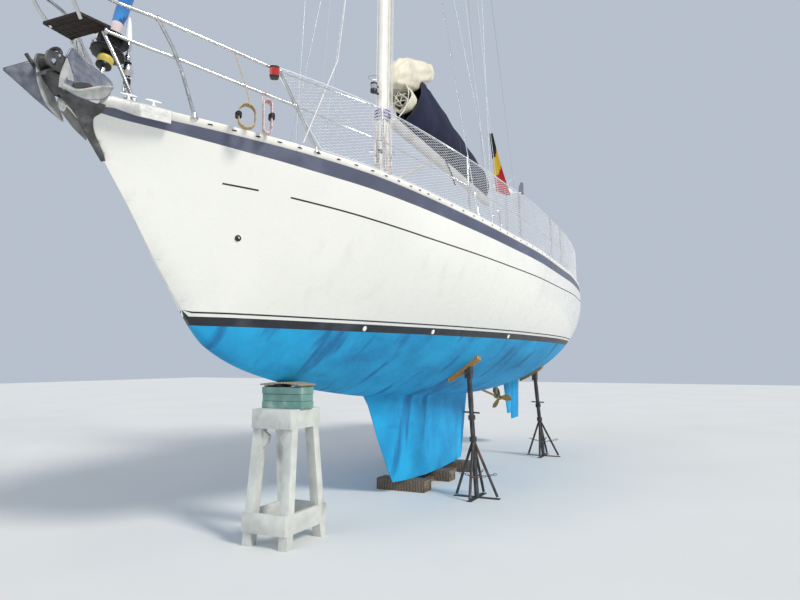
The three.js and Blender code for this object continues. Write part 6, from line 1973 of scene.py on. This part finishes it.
def washboards():
    build = Build()
    for k in range(BOARDS):
        low = lerp(BOARDS_LOW, BOARDS_HIGH, k / BOARDS) + BOARD_GAP / 2
        high = lerp(BOARDS_LOW, BOARDS_HIGH, (k + 1) / BOARDS) - BOARD_GAP / 2
        build.block(point(BOARD_FORE, -BOARD_HALF, low), point(BOARD_AFT, BOARD_HALF, high))
    build.piece("washboards", ["teak"], slot="plank_wood", angle=40, bevel=0.003)


def cleats_and_bases():
    build = Build()
    for s in SIDE_CLEATS:
        horn_cleat(build, aside(s, 0.001, -0.035), along_side(s), SIDE_CLEAT, 0.05, 0.09, 0.007, 11)
    for s in STANCHIONS:
        build.lathe(aside(s, -0.004, -0.05), UP, STANCHION_BASE, 18)
    build.mirrored()
    build.piece("cleats_and_stanchion_bases", ["chrome"], slot="stainless", angle=40)


def cowl_vents():
    vents = Build()
    for side, word in SIDES:
        foot = roof_point(VENT_S, side * VENT_Y)
        vents.lathe(foot - UP * 0.01, UP, VENT_BASE, 24)
        vents.tube(smooth([foot + Vector(row) for row in VENT_BEND], 6), lambda t: 0.05 + 0.03 * t, 20)
    vents.piece("cowl_vents", ["white"], slot="white_plastic", angle=40)


DRAIN_S, DRAIN_Z, DRAIN_WAY = 1.279, 2.538, Vector((0.45, 0.85, -0.3))
DRAIN = [(0.0, 0), (0.026, 0.0), (0.026, 0.005), (0.016, 0.008), (0.014, 0.002), (0.0, 0.002)]
SKIN_FITTINGS, SKIN_FITTING_Z, SKIN_FITTING_WAY = (2.9, 3.9, 5.6), 1.885, Vector((0.1, 1.0, -0.5))
SKIN_FITTING = [(0.03, 0.0), (0.03, 0.006), (0.02, 0.012), (0.014, 0.006), (0.0, 0.006)]
EXHAUST_Y, EXHAUST_Z, EXHAUST_WAY = -0.45, 2.35, Vector((-1, 0, 0.1))
EXHAUST = [(0.04, 0), (0.04, 0.008), (0.03, 0.03), (0.024, 0.03), (0.022, 0.004), (0.0, 0.004)]


def hull_fittings():
    """A drain near the stem, skin fittings on the boot top, and the exhaust in the transom."""
    build = Build()
    # The drain takes the dark hole look: painted shade in its opening.
    drain = point(DRAIN_S, half_breadth(DRAIN_S, DRAIN_Z) - 0.002, DRAIN_Z)
    build.lathe(drain, DRAIN_WAY.normalized(), DRAIN, 20)
    build.mark = 1
    for s in SKIN_FITTINGS:
        here = point(s, half_breadth(s, SKIN_FITTING_Z) - 0.003, SKIN_FITTING_Z)
        build.lathe(here, SKIN_FITTING_WAY.normalized(), SKIN_FITTING, 20)
    build.mark = 2
    pipe = point(transom_s(EXHAUST_Z) - 0.002, EXHAUST_Y, EXHAUST_Z)
    build.lathe(pipe, EXHAUST_WAY.normalized(), EXHAUST, 24)
    build.piece("hull_fittings", ["slot", "white", "chrome"], slot="stainless", angle=40)


# The pads under the hull are bare planks: faces of each prop that lie near its head and off its post
PAD_NEAR = (0.075, 0.28, 0.32)
POST_NEAR, POST_UP = (0.052, 0.06), 0.045


def plank_pads():
    for name, (s, y, z, foot_s, foot_y, side) in zip(PROP_NODES, PROPS):
        mesh = NODES[name].data
        mesh.materials.append(MATERIALS["pad_wood"])
        head = prop_head(s, y, z, side)
        for face in mesh.polygons:
            away = face.center - head
            in_pad = all(abs(d) < limit for d, limit in zip(away, PAD_NEAR))
            on_post = all(abs(d) < limit for d, limit in zip(away, POST_NEAR)) and away.z < POST_UP
            if in_pad and not on_post:
                face.material_index = 1


bow_block()
prop_fittings()
plank_pads()
turnbuckles()
running_lines()
hung_ropes()
handrails()
window_frames()
hatch_frame("fore_hatch")
hatch_frame("mid_hatch")
washboards()
cleats_and_bases()
cowl_vents()
hull_fittings()
